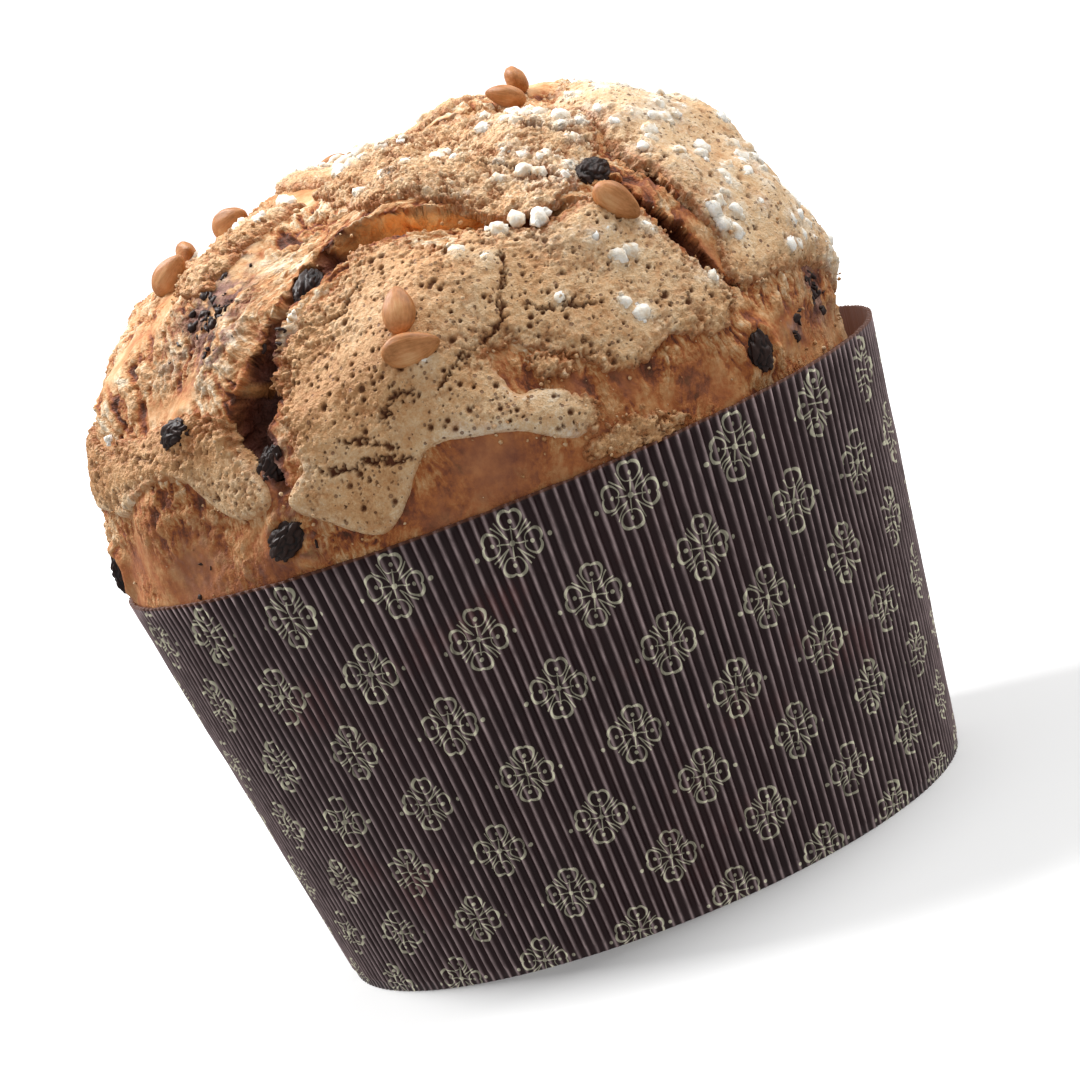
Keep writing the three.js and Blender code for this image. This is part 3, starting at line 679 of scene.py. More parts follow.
def bread_mesh():
    bm = bmesh.new()
    bmesh.ops.create_icosphere(bm, subdivisions=5, radius=1)

    def ways_of(points):
        return points / np.linalg.norm(points, axis=1, keepdims=True)

    def refine(cuts, wanted):
        """Cuts the edges of the faces whose middles the test picks."""
        bm.faces.ensure_lookup_table()
        middles = ways_of(np.array([face.calc_center_median() for face in bm.faces]))
        edges = {edge for i in np.flatnonzero(wanted(middles)) for edge in bm.faces[i].edges}
        bmesh.ops.subdivide_edges(bm, edges=list(edges), cuts=cuts, use_grid_fill=True)
        bmesh.ops.triangulate(bm, faces=[face for face in bm.faces if len(face.verts) > 3])

    def bare(ways):
        return plate_cover(ways) < 2

    def in_view(ways):
        return ways @ direction(-8, 12) > 0.02

    def in_split(ways):
        return split_depths(ways, MAP_RADIUS * ways)[1] < 1.15

    refine(2, lambda ways: ways[:, 2] > -0.06)
    refine(1, lambda ways: (ways[:, 2] > -0.03) & bare(ways))
    refine(1, lambda ways: (ways[:, 2] > -0.01) & bare(ways) & in_view(ways))
    refine(1, lambda ways: (ways[:, 2] > 0) & in_view(ways) & in_split(ways))
    mesh = mesh_of(bm, "bread")
    ways = ways_of(read_points(mesh))
    smooth = crust_reach(ways)
    points = ways * smooth[:, None]
    azimuth, elevation = angles(ways)
    depth, nearness = split_depths(ways, MAP_RADIUS * ways)
    cover = plate_cover(ways)
    in_sight = ease(-1.5, 2.5, elevation)

    # Fibres run up the loaf at the left and along the main split near it.
    main = smooth_path(directions(SPLITS[0]["path"]), False)
    main /= np.linalg.norm(main, axis=1, keepdims=True)
    from_main, along_main = path_distance(ways, main)
    from_main *= MAP_RADIUS
    by_main = hill(from_main, 24)
    swirl = 6 * noise(points, 26, 71)
    up_fibres = np.stack([MAP_RADIUS * np.cos(np.radians(elevation)) * np.radians(azimuth) + swirl,
                          0.26 * MAP_RADIUS * np.radians(elevation), 0.2 * smooth], axis=1)
    main_fibres = np.stack([from_main + 0.6 * swirl, 15 * along_main, 0.2 * smooth], axis=1)
    torn = ease(0, 1, 1.3 * noise(points, 16, 72) + 0.75)
    torn = np.maximum(torn, by_main) * (1 - 0.9 * near_any(ways, DARK_CRUST))
    torn = np.maximum(torn, near_any(ways, ROUGH_CRUST))
    low_down = (1 - ease(3, 19, elevation)) * (1 - 0.85 * near_any(ways, ROUGH_CRUST))

    def flaked(places, seed):
        """Overlapping flakes: a slow rise across the fibres and a sharp drop at the edge of each flake."""
        drift = 2.6 * noise(places * (1, 2.5, 1), 9, seed) + 0.9 * noise(places * (1, 2, 1), 3.4, seed + 1)
        step = (places[:, 0] + drift) / 4.4
        rise = step - np.floor(step)
        drop = ease(0.82, 1, rise)
        lifted = ease(-0.35, 0.45, noise(places * (1, 3, 1), 11, seed + 2))
        return lifted * (rise * (1 - drop) - 0.4), lifted * hill(rise - 0.97, 0.11)

    def strands(places, seed):
        coarse = 1 - np.abs(noise(places, 1.9, seed))
        fine = 1 - np.abs(noise(places, 0.95, seed + 1))
        return coarse ** 2 + 0.55 * fine ** 2 - 0.9

    up_flake, up_edge = flaked(up_fibres, 171)
    main_flake, main_edge = flaked(main_fibres, 175)
    flake = (1 - by_main) * up_flake + by_main * main_flake
    flake_edge_shade = (1 - by_main) * up_edge + by_main * main_edge
    fibre = (1 - by_main) * strands(up_fibres, 73) + by_main * strands(main_fibres, 75)
    grain = layered(points, 1.5, 81, 2, 0.6)
    folds = layered(points * (1, 1, 0.6), 11, 84, 2, 0.5)
    fibres = np.where(by_main[:, None] > 0.5, main_fibres, up_fibres)
    tears = (1 - low_down) * ease(0.25, 0.62, noise(fibres * (1, 1.6, 1), 4.2, 86))
    flake *= 1 - 0.8 * low_down
    fibre *= 1 - 0.5 * low_down
    lumps = layered(points, 4.5, 88, 4, 0.6)
    torn_relief = 1.3 * flake + 0.5 * fibre + 0.32 * grain + 0.75 * lumps - 1.1 * tears
    relief = torn * torn_relief + (1 - torn) * 0.08 * grain
    relief += folds * (0.3 + 0.7 * torn)
    for at, turn, sink in RAISINS:
        apart = MAP_RADIUS * np.arccos(np.clip(ways @ direction(*at), -1, 1))
        relief += 1.8 * (sink < SHALLOW) * hill(apart - 5.2, 2.2)
    edge_room = ease(0, 3, -cover)
    relief = relief * (0.35 + 0.65 * edge_room) - COVERED_SUNK * ease(0.5, 2.5, cover) - BARE_SUNK

    hollow = ease(0, 2.0, depth)
    down_in = points + ways * depth[:, None]
    crumb = strands(np.stack([along_main * 70, from_main, 0.4 * smooth + depth], axis=1), 90)
    inner = 0.12 * crumb + 1.4 * layered(down_in + 1.5 * lumps[:, None], 5.5, 92, 3, 0.5)
    relief = relief * (1 - hollow) + inner * hollow - depth
    reach = smooth + in_sight * relief
    # The walls of the splits are shoved sideways as well, so that their crumb isn't drawn out in streaks.
    placed = ways * reach[:, None]
    shoved = shifts(placed, 2.6, 160, 3, 0.6, step=4)
    bulged = shifts(placed, 5.5, 180, 2, 0.5, step=4)
    placed += (0.3 * torn * in_sight * (elevation > 0))[:, None] * shoved + 1.6 * hollow[:, None] * bulged
    write_points(mesh, placed + DOME_CENTRE)

    # Painted shade and highlight: the crust is painted darker in the low places of the torn relief, under
    # flake edges and in tears, and paler on raised fibres and flakes.
    recess_shade = ease(0.1, -0.8, torn_relief)
    bake_and_shade = 0.31 + 0.2 * noise(points, 14, 95) + 0.18 * noise(points, 5, 96)
    bake_and_shade += torn * (
        0.42 * recess_shade + 0.35 * flake_edge_shade + 0.22 * tears - 0.24 * ease(-0.1, 0.9, fibre + flake))
    bake_and_shade += 0.42 * near_any(ways, DARK_CRUST) + 0.05 * near_any(ways, GOLDEN_CRUST)
    bake_and_shade += 0.2 * hill(nearness - 1.15, 0.35) + 0.12 * (1 - ease(0, 22, elevation))
    stain = near_any(ways, BERRY_STAINS) * ease(-0.35, 0.45, layered(points, 5, 97, 3, 0.7) + 0.15)
    write_values(mesh, "bake_and_shade", np.clip(bake_and_shade, 0, 1))
    write_values(mesh, "stain", np.clip(stain * 1.5, 0, 1))
    # Only the open split at the front top shows golden crumb; the other splits are painted near black as
    # painted shade.
    golden = hill(azimuth - 3, 15) * (elevation > 36) + 0.35 * noise(points, 7, 98)
    write_values(mesh, "crumb", hollow * ease(0.15, 0.6, golden))
    write_values(mesh, "leathery", near_any(ways, DARK_CRUST) * (1 - torn) * (1 - hollow))
    write_vectors(mesh, "strand", fibres + 0.8 * lumps[:, None])
    write_values(mesh, "depth", np.clip(depth / 11, 0, 1))
    write_values(mesh, "torn", np.clip(torn, 0, 1) * (1 - hollow))
    return mesh


# Crust has next to no gloss, IOR 1.45 and roughness 0.72: pale flour cream on torn fibres, partly a painted
# highlight, orange-brown between them with painted shade in the low places, and red-brown where it was bare
# in the oven; berries leave dark red-brown stains, and in the splits painted shade darkens the crumb with
# depth.
bread, bread_shader = new_material("baked_bread_crust", Roughness=0.72, IOR=1.45, Specular_IOR_Level=0.35)
tree = bread.node_tree
place = add(tree, "TexCoord", out=3)
bake_and_shade, stain, crumb, split_depth, torn, leathery = (
    add(tree, "Attribute", out=2, attribute_name=name)
    for name in ("bake_and_shade", "stain", "crumb", "depth", "torn", "leathery"))
strand = add(tree, "Attribute", out=1, attribute_name="strand")
grain = add(tree, "TexNoise", {"Vector": place, "Scale": 1 / (1.6 * MM), "Detail": 4.0, "Roughness": 0.65})
speck = add(tree, "TexNoise", {"Vector": place, "Scale": 1 / (0.5 * MM), "Detail": 2.0, "Roughness": 0.6})
strand_tone = add(tree, "TexNoise", {"Vector": strand, "Scale": 1 / (0.9 * MM), "Detail": 3.0,
                                     "Roughness": 0.6})
grain_tone = add(tree, "Math", grain, 0.5, -0.25, operation="MULTIPLY_ADD")
baked_and_shaded = add(tree, "Math", bake_and_shade, grain_tone, operation="ADD")
strand_depth = add(tree, "Math", strand_tone, -1.1, 0.52, operation="MULTIPLY_ADD")
baked_and_shaded = add(tree, "Math", torn, strand_depth, baked_and_shaded, operation="MULTIPLY_ADD")
crust_colour = add(tree, "ValToRGB", baked_and_shaded, stops=[
    (0.0, "#e8d4b8"), (0.2, "#d6b086"), (0.42, "#c08a58"), (0.62, "#a8612f"), (0.8, "#80442a"),
    (1.0, "#54301f")])
skin_tone = add(tree, "TexNoise", {"Vector": place, "Scale": 1 / (7 * MM), "Detail": 5.0, "Roughness": 0.6})
skin_colour = add(
    tree, "ValToRGB", skin_tone, stops=[(0.3, "#744534"), (0.5, "#a06643"), (0.68, "#bf8355")])
crust_colour = add(tree, "Mix", {0: leathery, 6: crust_colour, 7: skin_colour}, out=2, data_type="RGBA")
# Painted shade: the crumb in the splits darkens with depth, and splits other than the front top one are
# painted near black.
crumb_depth_shade_tone = add(tree, "Math", grain, 0.6, -0.3, operation="MULTIPLY_ADD")
crumb_depth_shade_tone = add(tree, "Math", split_depth, crumb_depth_shade_tone, operation="ADD")
crumb_colour = add(tree, "ValToRGB", crumb_depth_shade_tone, stops=[
    (0.0, "#f4cf95"), (0.4, "#eda961"), (0.75, "#d08238"), (1.0, "#934d22")])
split_shade_tone = add(tree, "Math", split_depth, grain_tone, operation="ADD")
split_shade_colour = add(
    tree, "ValToRGB", split_shade_tone, stops=[(0.0, "#8f5730"), (0.45, "#5e2c1a"), (1.0, "#200f0b")])
inside_colour = add(tree, "Mix", {0: crumb, 6: split_shade_colour, 7: crumb_colour}, out=2, data_type="RGBA")
inside_share = add(tree, "MapRange", {"Value": split_depth, "From Min": 0.03, "From Max": 0.2,
                                      "To Min": 0.0, "To Max": 1.0})
colour = add(tree, "Mix", {0: inside_share, 6: crust_colour, 7: inside_colour}, out=2, data_type="RGBA")
soaked = add(tree, "MapRange", {"Value": grain, "From Min": 0.3, "From Max": 0.55, "To Min": 0.7,
                                "To Max": 1.0})
stain_share = add(tree, "Math", stain, soaked, operation="MULTIPLY")
blot = add(tree, "TexNoise", {"Vector": place, "Scale": 1 / (3.2 * MM), "Detail": 4.0, "Roughness": 0.65})
stain_colour = add(tree, "ValToRGB", blot, stops=[(0.38, "#22100f"), (0.5, "#6a403a"), (0.66, "#ab8270")])
colour = add(tree, "Mix", {0: stain_share, 6: colour, 7: stain_colour}, out=2, data_type="RGBA")
tree.links.new(colour, bread_shader.inputs["Base Color"])
rough_share = add(tree, "Math", torn, inside_share, operation="MAXIMUM")
bump_share = add(tree, "Math", rough_share, 0.75, 0.25, operation="MULTIPLY_ADD")
bump_height = add(tree, "Math", speck, 0.5, grain, operation="MULTIPLY_ADD")
bump_height = add(tree, "Math", bump_height, bump_share, operation="MULTIPLY")
crumbs = add(tree, "TexVoronoi", {"Vector": place, "Scale": 1 / (0.9 * MM), "Randomness": 1.0})
crumbled = add(tree, "Math", crumbs, rough_share, operation="MULTIPLY")
bump_height = add(tree, "Math", crumbled, -0.5, bump_height, operation="MULTIPLY_ADD")
stranded = add(tree, "Math", strand_tone, torn, operation="MULTIPLY")
bump_height = add(tree, "Math", stranded, 1.2, bump_height, operation="MULTIPLY_ADD")
bump = add(tree, "Bump", {"Strength": 0.9, "Distance": 0.75 * MM, "Height": bump_height})
tree.links.new(bump, bread_shader.inputs["Normal"])

loaf = add_piece("bread", bread_mesh(), bread)
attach(loaf, "root")
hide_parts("loaf")


# Almond glaze
# Egg white, sugar and ground almond, spread on before baking: a brittle skin near two millimetres thick.
# It broke into plates as the dough rose: crumbly where torn, smooth where it ran, and full of pinholes.

GLAZE_CRACKS = {
    "front": [
        ([(-14, 16.5), (-13, 16), (-11, 18), (-8, 18), (-5, 17), (-2, 18.5), (0, 20.5), (2, 21)], 0.45),
        ([(-20, 15), (-17, 14.5), (-15, 13.5), (-13, 12)], 0.35),
        ([(-26, 13), (-23, 12.5), (-20, 11), (-17, 12), (-13, 10.5), (-10, 10)], 0.5),
        ([(2, 21), (5, 22), (8, 23.5), (9, 27)], 0.6),
        ([(9, 27), (12, 30), (13, 34)], 0.35),
        ([(12, 24), (15, 22), (19, 21.5), (22, 19)], 0.3),
        ([(-20, 33), (-16, 34), (-12, 38)], 0.4)],
    "top": [
        ([(20, 56), (26, 52), (30, 46), (33, 41)], 0.5),
        ([(0, 66), (8, 62), (20, 62), (30, 60)], 0.4),
        ([(-10, 62), (0, 58), (10, 57)], 0.35),
        ([(38, 62), (42, 56), (46, 50), (47, 45)], 0.8)],
    "front_left": [([(-62, 22), (-58, 20), (-52, 21)], 0.3)]}
# How crumbly a plate is all over, its grid step, and the elevation under which its edge ran smooth.
PLATE_MANNER = {
    "front": (0.22, 0.38, 15), "front_left": (0.4, 0.45, 16), "top": (1.0, 0.42, -90),
    "right": (0.2, 0.5, 0), "shoulder": (1.0, 0.45, -90), "rim_scrap": (0.5, 0.4, -90),
    "island_left": (0.4, 0.36, -90), "island_right": (0.4, 0.36, -90), "crown": (0.7, 0.8, -90),
    "back_right": (0.3, 0.85, 14), "back": (0.35, 0.85, 12), "back_left": (0.3, 0.85, 14)}
GLAZE_BACKING = 2.2
PINHOLE_SPACING = 2.1
PINHOLE_DEPTH = 1.3
CRACK_DEPTH = 1.7
SUGAR_FOOT = 0.7
EDGE_LEFT_OVER = 1.3
# The nibs of sugar that show in front, then more by a seeded draw: thickest on the right and the crown.
SUGAR_PLACES = [
    (15, 38), (19, 38), (17, 23), (27, 29), (29, 25), (31, 25), (28, 52), (24, 49), (29, 47), (21, 63),
    (-1, 61), (50, 59), (40, 63), (10, 33), (-26, 36), (-67, 24), (33, 41), (22, 36), (36, 27), (6, 36)]
SUGAR_COUNT = 220
SUGAR_SPACING = 3.3

draw = np.random.default_rng(17)
azimuth, height, keen = draw.uniform(-180, 180, 8000), draw.uniform(0.12, 1, 8000), draw.random(8000)
ways = direction(azimuth, np.degrees(np.arcsin(height)))
liking = np.maximum(hill(turn_between(azimuth, 66), 36) * ease(0.12, 0.35, height),
                    0.7 * hill(1 - height, 0.16))
sparse_front = np.where((azimuth > 10) & (azimuth < 38) & (height < 0.6), 0.15, 1)
liking = np.where(turn_between(azimuth, -30) < 50, 0.012, 0.05) + 0.94 * liking * sparse_front
liking *= ease(-0.35, 0.35, noise(MAP_RADIUS * ways, 13, 141))
sugar_ways = [direction(*at) for at in SUGAR_PLACES]
for way in ways[(keen < liking) & (plate_cover(ways) > 1.5)]:
    apart = MAP_RADIUS * np.linalg.norm(np.array(sugar_ways) - way, axis=1).min()
    if len(sugar_ways) < SUGAR_COUNT and apart > SUGAR_SPACING:
        sugar_ways.append(way)


def glaze_mesh(name, outline):
    crumbly, step, smooth_below = PLATE_MANNER[name]
    middle = plate_middle(outline)
    corners = smooth_path(to_flat(directions(outline), middle), True, 3)
    low, high = corners.min(axis=0) - 3, corners.max(axis=0) + 3
    cells = np.ceil((high - low) / step).astype(int)

    def shape(flat):
        """Ways, points, how torn the edge is, how far inside it each place lies and how cracked it is."""
        ways = from_flat(flat, middle)
        points = MAP_RADIUS * ways
        azimuth, elevation = angles(ways)
        torn = ease(smooth_below - 2, smooth_below + 5, elevation)
        if name == "front":
            torn = np.maximum(torn, ease(9, 15, azimuth))
        warp = shifts(points, 7, 110, 4, 0.62, count=2)
        soft_warp = np.stack([noise(points, 12, 120 + i) for i in range(2)], axis=1)
        jagged = shifts(points, 1.7, 125, 2, 0.7, step=2, count=2)
        moved = flat + torn[:, None] * (1.6 * warp + 1.15 * jagged) + 0.8 * (1 - torn)[:, None] * soft_warp
        edge = inside_distance(moved, corners)
        cracked = np.zeros(len(flat))
        unevenness = 0.5 + noise(points, 3, 131)
        for path, half in GLAZE_CRACKS.get(name, []):
            crack = smooth_path(to_flat(directions(path), middle), False, 2)
            apart, along = path_distance(flat + 0.9 * warp + 1.1 * jagged, crack)
            width = half * unevenness * ease(0, 0.1, along) * ease(0, 0.1, 1 - along)
            cracked = np.maximum(cracked, ease(0.45, -0.15, apart - width) * ease(-0.1, 0.1, width))
        return ways, points, torn, edge, cracked

    bm = bmesh.new()
    bmesh.ops.create_grid(bm, x_segments=int(cells[0]), y_segments=int(cells[1]), size=0.5)
    grid = np.array([vertex.co[:2] for vertex in bm.verts])
    flat = low + (grid + 0.5) * (high - low)
    edge = shape(flat)[3]
    bm.verts.ensure_lookup_table()
    beyond = [bm.verts[i] for i in np.flatnonzero(edge < -EDGE_LEFT_OVER)]
    bmesh.ops.delete(bm, geom=beyond, context="VERTS")
    bmesh.ops.recalc_face_normals(bm, faces=bm.faces)
    backing = bm.verts.layers.float.new("backing")
    shell = bmesh.ops.extrude_face_region(bm, geom=bm.faces[:], use_keep_orig=True)["geom"]
    for item in shell:
        if isinstance(item, bmesh.types.BMVert):
            item[backing] = 1
    mesh = mesh_of(bm, "glaze_" + name)
    under = np.zeros(len(mesh.vertices), np.float32)
    mesh.attributes["backing"].data.foreach_get("value", under)
    mesh.attributes.remove(mesh.attributes["backing"])
    flat = low + (read_points(mesh)[:, :2] * MM + 0.5) * (high - low)
    ways = from_flat(flat, middle)
    reach = crust_reach(ways) - GLAZE_BACKING
    upper = np.flatnonzero(under < 0.5)
    ways_up, points, torn, edge, cracked = shape(flat[upper])
    smooth = reach[upper] + GLAZE_BACKING
    thick = GLAZE_THICKNESS * (1 + 0.25 * noise(points, 15, 140))
    thick *= np.where(torn > 0.5, 0.5 + 0.5 * ease(0, 5, edge), 0.7 + 0.3 * ease(0, 6, edge))
    bevel = 0.5 + 1.2 * (1 - torn)
    rounded = np.sqrt(np.clip(1 - (1 - np.clip(edge / bevel, 0, 1)) ** 2, 0, 1))
    height = np.where(edge > 0, thick * rounded, 1.6 * edge)
    clump = np.clip(
        crumbly + 0.5 * torn * hill(edge, 4.5) * (crumbly > 0.15) + 0.25 * noise(points, 12, 141), 0, 1)
    if name == "front":
        clump = np.maximum(clump, near_any(ways_up, [((-24, 36), 12, 1.0), ((-20, 33), 10, 0.8),
                                                     ((-28, 28), 7, 0.9)]))
    wander = shifts(points, 2.4, 142, 2, 0.7, step=2)
    near, gap, chance = clods(points + 1.1 * wander, 3.0, 145)
    near_small, gap_small, chance_small = clods(points + 0.5 * wander, 1.3, 146)
    opened = ease(-0.25, 0.35, noise(points, 5, 150))
    creases = opened * hill(gap, 0.12)
    small_creases = hill(gap_small, 0.14)
    relief = clump * (
        0.75 * (0.5 - near) - 1.3 * creases + 0.42 * (0.5 - near_small) - 0.35 * small_creases)
    relief += clump * (0.5 * (chance - 0.5) + 0.25 * (chance_small - 0.5)) * hill(near, 0.7)
    relief += (0.5 * noise(points, 9, 147) + 0.22 * noise(points, 3.2, 148)) * (0.5 + 0.5 * torn)
    relief += (0.13 + 0.2 * clump) * layered(points, 1.2, 149, 2, 0.7)
    relief -= CRACK_DEPTH * cracked
    from_hole, _, chance = clods(points, PINHOLE_SPACING, 151)
    pits = ease(1.25, 0.6, from_hole * PINHOLE_SPACING / (0.3 + 0.7 * chance ** 6))
    pits *= (1 - clump) ** 0.5 * ease(0.5, 2, edge)
    relief -= PINHOLE_DEPTH * pits
    nibs = np.array([way for way in sugar_ways if way @ middle > (ways @ middle).min()])
    sugared = np.zeros(len(upper))
    for nib in nibs:
        sugared = np.maximum(sugared, hill(MAP_RADIUS * np.linalg.norm(ways_up - nib, axis=1), 3.0))
    settled = ease(0.1, 1.2 + 1.2 * (1 - torn), edge)
    top = smooth + height + relief * settled + SUGAR_FOOT * sugared * ease(0, 2, edge)
    reach[upper] = np.maximum(top, smooth - GLAZE_BACKING + 0.2)
    write_points(mesh, ways * reach[:, None] + DOME_CENTRE)
    browned = clump * (opened * hill(gap, 0.18) + 0.45 * small_creases) + 0.7 * hill(edge, 0.8) * torn
    shown = {
        "pit": pits * 1.3, "crevice": browned, "cracked": cracked, "clump": clump, "sugared": sugared,
        "rim": (0.55 + 0.45 * hill(edge - 0.8, 1.6)) * (1 - torn),
        "crown_of_clump": clump * ease(0.1, 0.8, gap)}
    for label, values in shown.items():
        everywhere = np.zeros(len(flat))
        everywhere[upper] = np.clip(values, 0, 1)
        write_values(mesh, label, everywhere)
    bm = bmesh.new()
    bm.from_mesh(mesh)
    bmesh.ops.recalc_face_normals(bm, faces=bm.faces)
    bm.to_mesh(mesh)
    bm.free()
    return mesh


# Dried meringue with almond meal is matt, roughness 0.62 and IOR 1.45: tan with brown pinholes, paler and
# whiter where it is thick and, as painted light, on the right and higher up, orange-brown in the cracks
# between its crumbs.
glaze, glaze_shader = new_material("baked_almond_glaze", Roughness=0.62, IOR=1.45, Specular_IOR_Level=0.4)
tree = glaze.node_tree
place = add(tree, "TexCoord", out=3)
pit, crevice, clump, rim, cracked, sugared, clump_top = (
    add(tree, "Attribute", out=2, attribute_name=name)
    for name in ("pit", "crevice", "clump", "rim", "cracked", "sugared", "crown_of_clump"))
x, z = (add(tree, "SeparateXYZ", place, out=i) for i in (0, 2))
broad = add(tree, "TexNoise", {"Vector": place, "Scale": 1 / (18 * MM), "Detail": 3.0, "Roughness": 0.6})
grain = add(tree, "TexNoise", {"Vector": place, "Scale": 1 / (1.4 * MM), "Detail": 4.0, "Roughness": 0.65})
fine = add(tree, "TexNoise", {"Vector": place, "Scale": 1 / (0.5 * MM), "Detail": 2.0, "Roughness": 0.6})
# The glaze is painted paler on the right and higher up, and browner towards the left: partly thicker glaze
# on the right and the crown, partly painted light from the key light on the right and above.
lit_and_whiter_right = add(tree, "MapRange", {"Value": x, "From Min": -0.07, "From Max": 0.075, "To Min": 0.0,
                                   "To Max": 1.0})
lit_and_whiter_top = add(tree, "MapRange", {"Value": z, "From Min": 0.125, "From Max": 0.19, "To Min": 0.0,
                                      "To Max": 1.0})
paleness_and_light = add(tree, "Math", broad, 0.6, -0.53, operation="MULTIPLY_ADD")
for cause, share in ((lit_and_whiter_right, 0.26), (lit_and_whiter_top, 0.13), (grain, 0.6), (fine, 0.5), (rim, 0.3),
                     (sugared, 0.3), (clump_top, 0.22)):
    paleness_and_light = add(tree, "Math", cause, share, paleness_and_light, operation="MULTIPLY_ADD")
colour = add(tree, "ValToRGB", paleness_and_light, stops=[
    (0.0, "#8e5f39"), (0.25, "#b37f50"), (0.48, "#cd9f6e"), (0.72, "#ddbd94"), (1.0, "#eee0ca")])
warm = add(tree, "TexNoise", {"Vector": place, "Scale": 1 / (3.5 * MM), "Detail": 3.0, "Roughness": 0.6})
warm_share = add(tree, "MapRange", {"Value": warm, "From Min": 0.5, "From Max": 0.72, "To Min": 0.0,
                                    "To Max": 0.5})
colour = add(tree, "Mix", {0: warm_share, 6: colour, 7: "#b8793f"}, out=2, data_type="RGBA")
crevice_share = add(tree, "Math", crevice, 0.85, operation="MULTIPLY")
colour = add(tree, "Mix", {0: crevice_share, 6: colour, 7: "#a05a28"}, out=2, data_type="RGBA")
colour = add(tree, "Mix", {0: cracked, 6: colour, 7: "#6a3a20"}, out=2, data_type="RGBA")
# Each cell of the pattern has one pinhole, its radius drawn from the cell's own colour.
small_holes = add(tree, "TexVoronoi", {"Vector": place, "Scale": 1 / (1.5 * MM), "Randomness": 1.0})
cell_draw = add(tree, "SeparateXYZ", small_holes.node.outputs["Color"])
hole_radius = add(tree, "Math", cell_draw, 2.5, operation="POWER")
hole_radius = add(tree, "Math", hole_radius, 0.3, 0.06, operation="MULTIPLY_ADD")
beyond = add(tree, "Math", small_holes, hole_radius, operation="SUBTRACT")
hole_share = add(tree, "MapRange", {"Value": beyond, "From Min": -0.03, "From Max": 0.05, "To Min": 1.0,
                                    "To Max": 0.0})
unbroken = add(tree, "Math", 1.0, clump, operation="SUBTRACT")
hole_share = add(tree, "Math", hole_share, unbroken, operation="MULTIPLY")
hole_tint = add(tree, "Math", hole_share, 0.85, operation="MULTIPLY")
colour = add(tree, "Mix", {0: hole_tint, 6: colour, 7: "#63381f"}, out=2, data_type="RGBA")
colour = add(tree, "Mix", {0: pit, 6: colour, 7: "#6b3f22"}, out=2, data_type="RGBA")
tree.links.new(colour, glaze_shader.inputs["Base Color"])
bump_height = add(tree, "Math", fine, 0.7, grain, operation="MULTIPLY_ADD")
bump_height = add(tree, "Math", bump_height, hole_share, operation="SUBTRACT")
granules = add(tree, "TexVoronoi", {"Vector": place, "Scale": 1 / (0.8 * MM), "Randomness": 1.0})
granules = add(tree, "Math", granules, clump, operation="MULTIPLY")
bump_height = add(tree, "Math", granules, -0.8, bump_height, operation="MULTIPLY_ADD")
bump = add(tree, "Bump", {"Strength": 0.85, "Distance": 0.65 * MM, "Height": bump_height})
tree.links.new(bump, glaze_shader.inputs["Normal"])

for name, outline in PLATES.items():
    plate = add_piece("glaze_" + name, glaze_mesh(name, outline), glaze)
    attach(plate, "root")
    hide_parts("loaf")


# Pearl sugar
# Hard white nibs of pressed sugar, strewn on the glaze before baking: lumps of a few grains, two to six
# millimetres across, thick on the right and the crown and stuck down by the glaze round their feet.

NIB_SIZES = (2.4, 5.2)
NIB_SUNK = 0.7


def seat(way, turn, edge, reach):
    """Places a small thing on the crust: x lies along it at this turn, z points out, edge rolls it up."""
    east, north = tangents(way)
    basis = Matrix((east, north, way)).transposed().to_4x4()
    spin = Matrix.Rotation(math.radians(turn), 4, "Z") @ Matrix.Rotation(math.radians(edge), 4, "X")
    return Matrix.Translation(Vector((way * reach + DOME_CENTRE) * MM)) @ basis @ spin


bm = bmesh.new()
for way, reach in zip(sugar_ways, crust_reach(np.array(sugar_ways)) + GLAZE_THICKNESS):
    nib = draw.uniform(*NIB_SIZES)
    reach -= NIB_SUNK * draw.random()
    for number in range(draw.integers(1, 5)):
        grain = nib * (1 if number == 0 else draw.uniform(0.4, 0.65))
        aside = draw.uniform(0, math.tau)
        shift = 0 if number == 0 else 0.42 * nib
        spot = Vector((shift * math.cos(aside), shift * math.sin(aside), 0.05 * shift)) * MM
        stretch = Matrix.Diagonal((*draw.uniform(0.8, 1.15, 2), draw.uniform(0.65, 0.85), 1))
        bmesh.ops.create_icosphere(bm, subdivisions=2, radius=0.5 * grain * MM,
                                   matrix=seat(way, 0, 0, reach) @ Matrix.Translation(spot) @ stretch)
sugar_mesh = mesh_of(bm, "pearl_sugar")
places = read_points(sugar_mesh)
lumpy = shifts(places, 2.0, 300, 3, 0.75, step=3)
write_points(sugar_mesh, places + 0.55 * lumpy)

# Pressed sugar is a translucent white crystal mass, IOR 1.53: light soaks in and it looks chalky, stained
# cream where the glaze wetted it.
sugar, sugar_shader = new_material("pressed_pearl_sugar", Roughness=0.5, IOR=1.53, Subsurface_Weight=0.25,
                                   Subsurface_Scale=1.0 * MM, Subsurface_Radius=(1, 0.9, 0.8))
tree = sugar.node_tree
place = add(tree, "TexCoord", out=3)
crystals = add(tree, "TexVoronoi", {"Vector": place, "Scale": 1 / (0.45 * MM), "Randomness": 1.0})
cloud = add(tree, "TexNoise", {"Vector": place, "Scale": 1 / (4.0 * MM), "Detail": 3.0, "Roughness": 0.6})
colour = add(tree, "ValToRGB", cloud, stops=[(0.32, "#cda97c"), (0.46, "#e9dcc8"), (0.62, "#f8f4ec")])
tree.links.new(colour, sugar_shader.inputs["Base Color"])
bump = add(tree, "Bump", {"Strength": 0.5, "Distance": 0.2 * MM, "Height": crystals})
tree.links.new(bump, sugar_shader.inputs["Normal"])

pearls = add_piece("pearl_sugar", sugar_mesh, sugar)
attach(pearls, "root")
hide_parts("loaf")


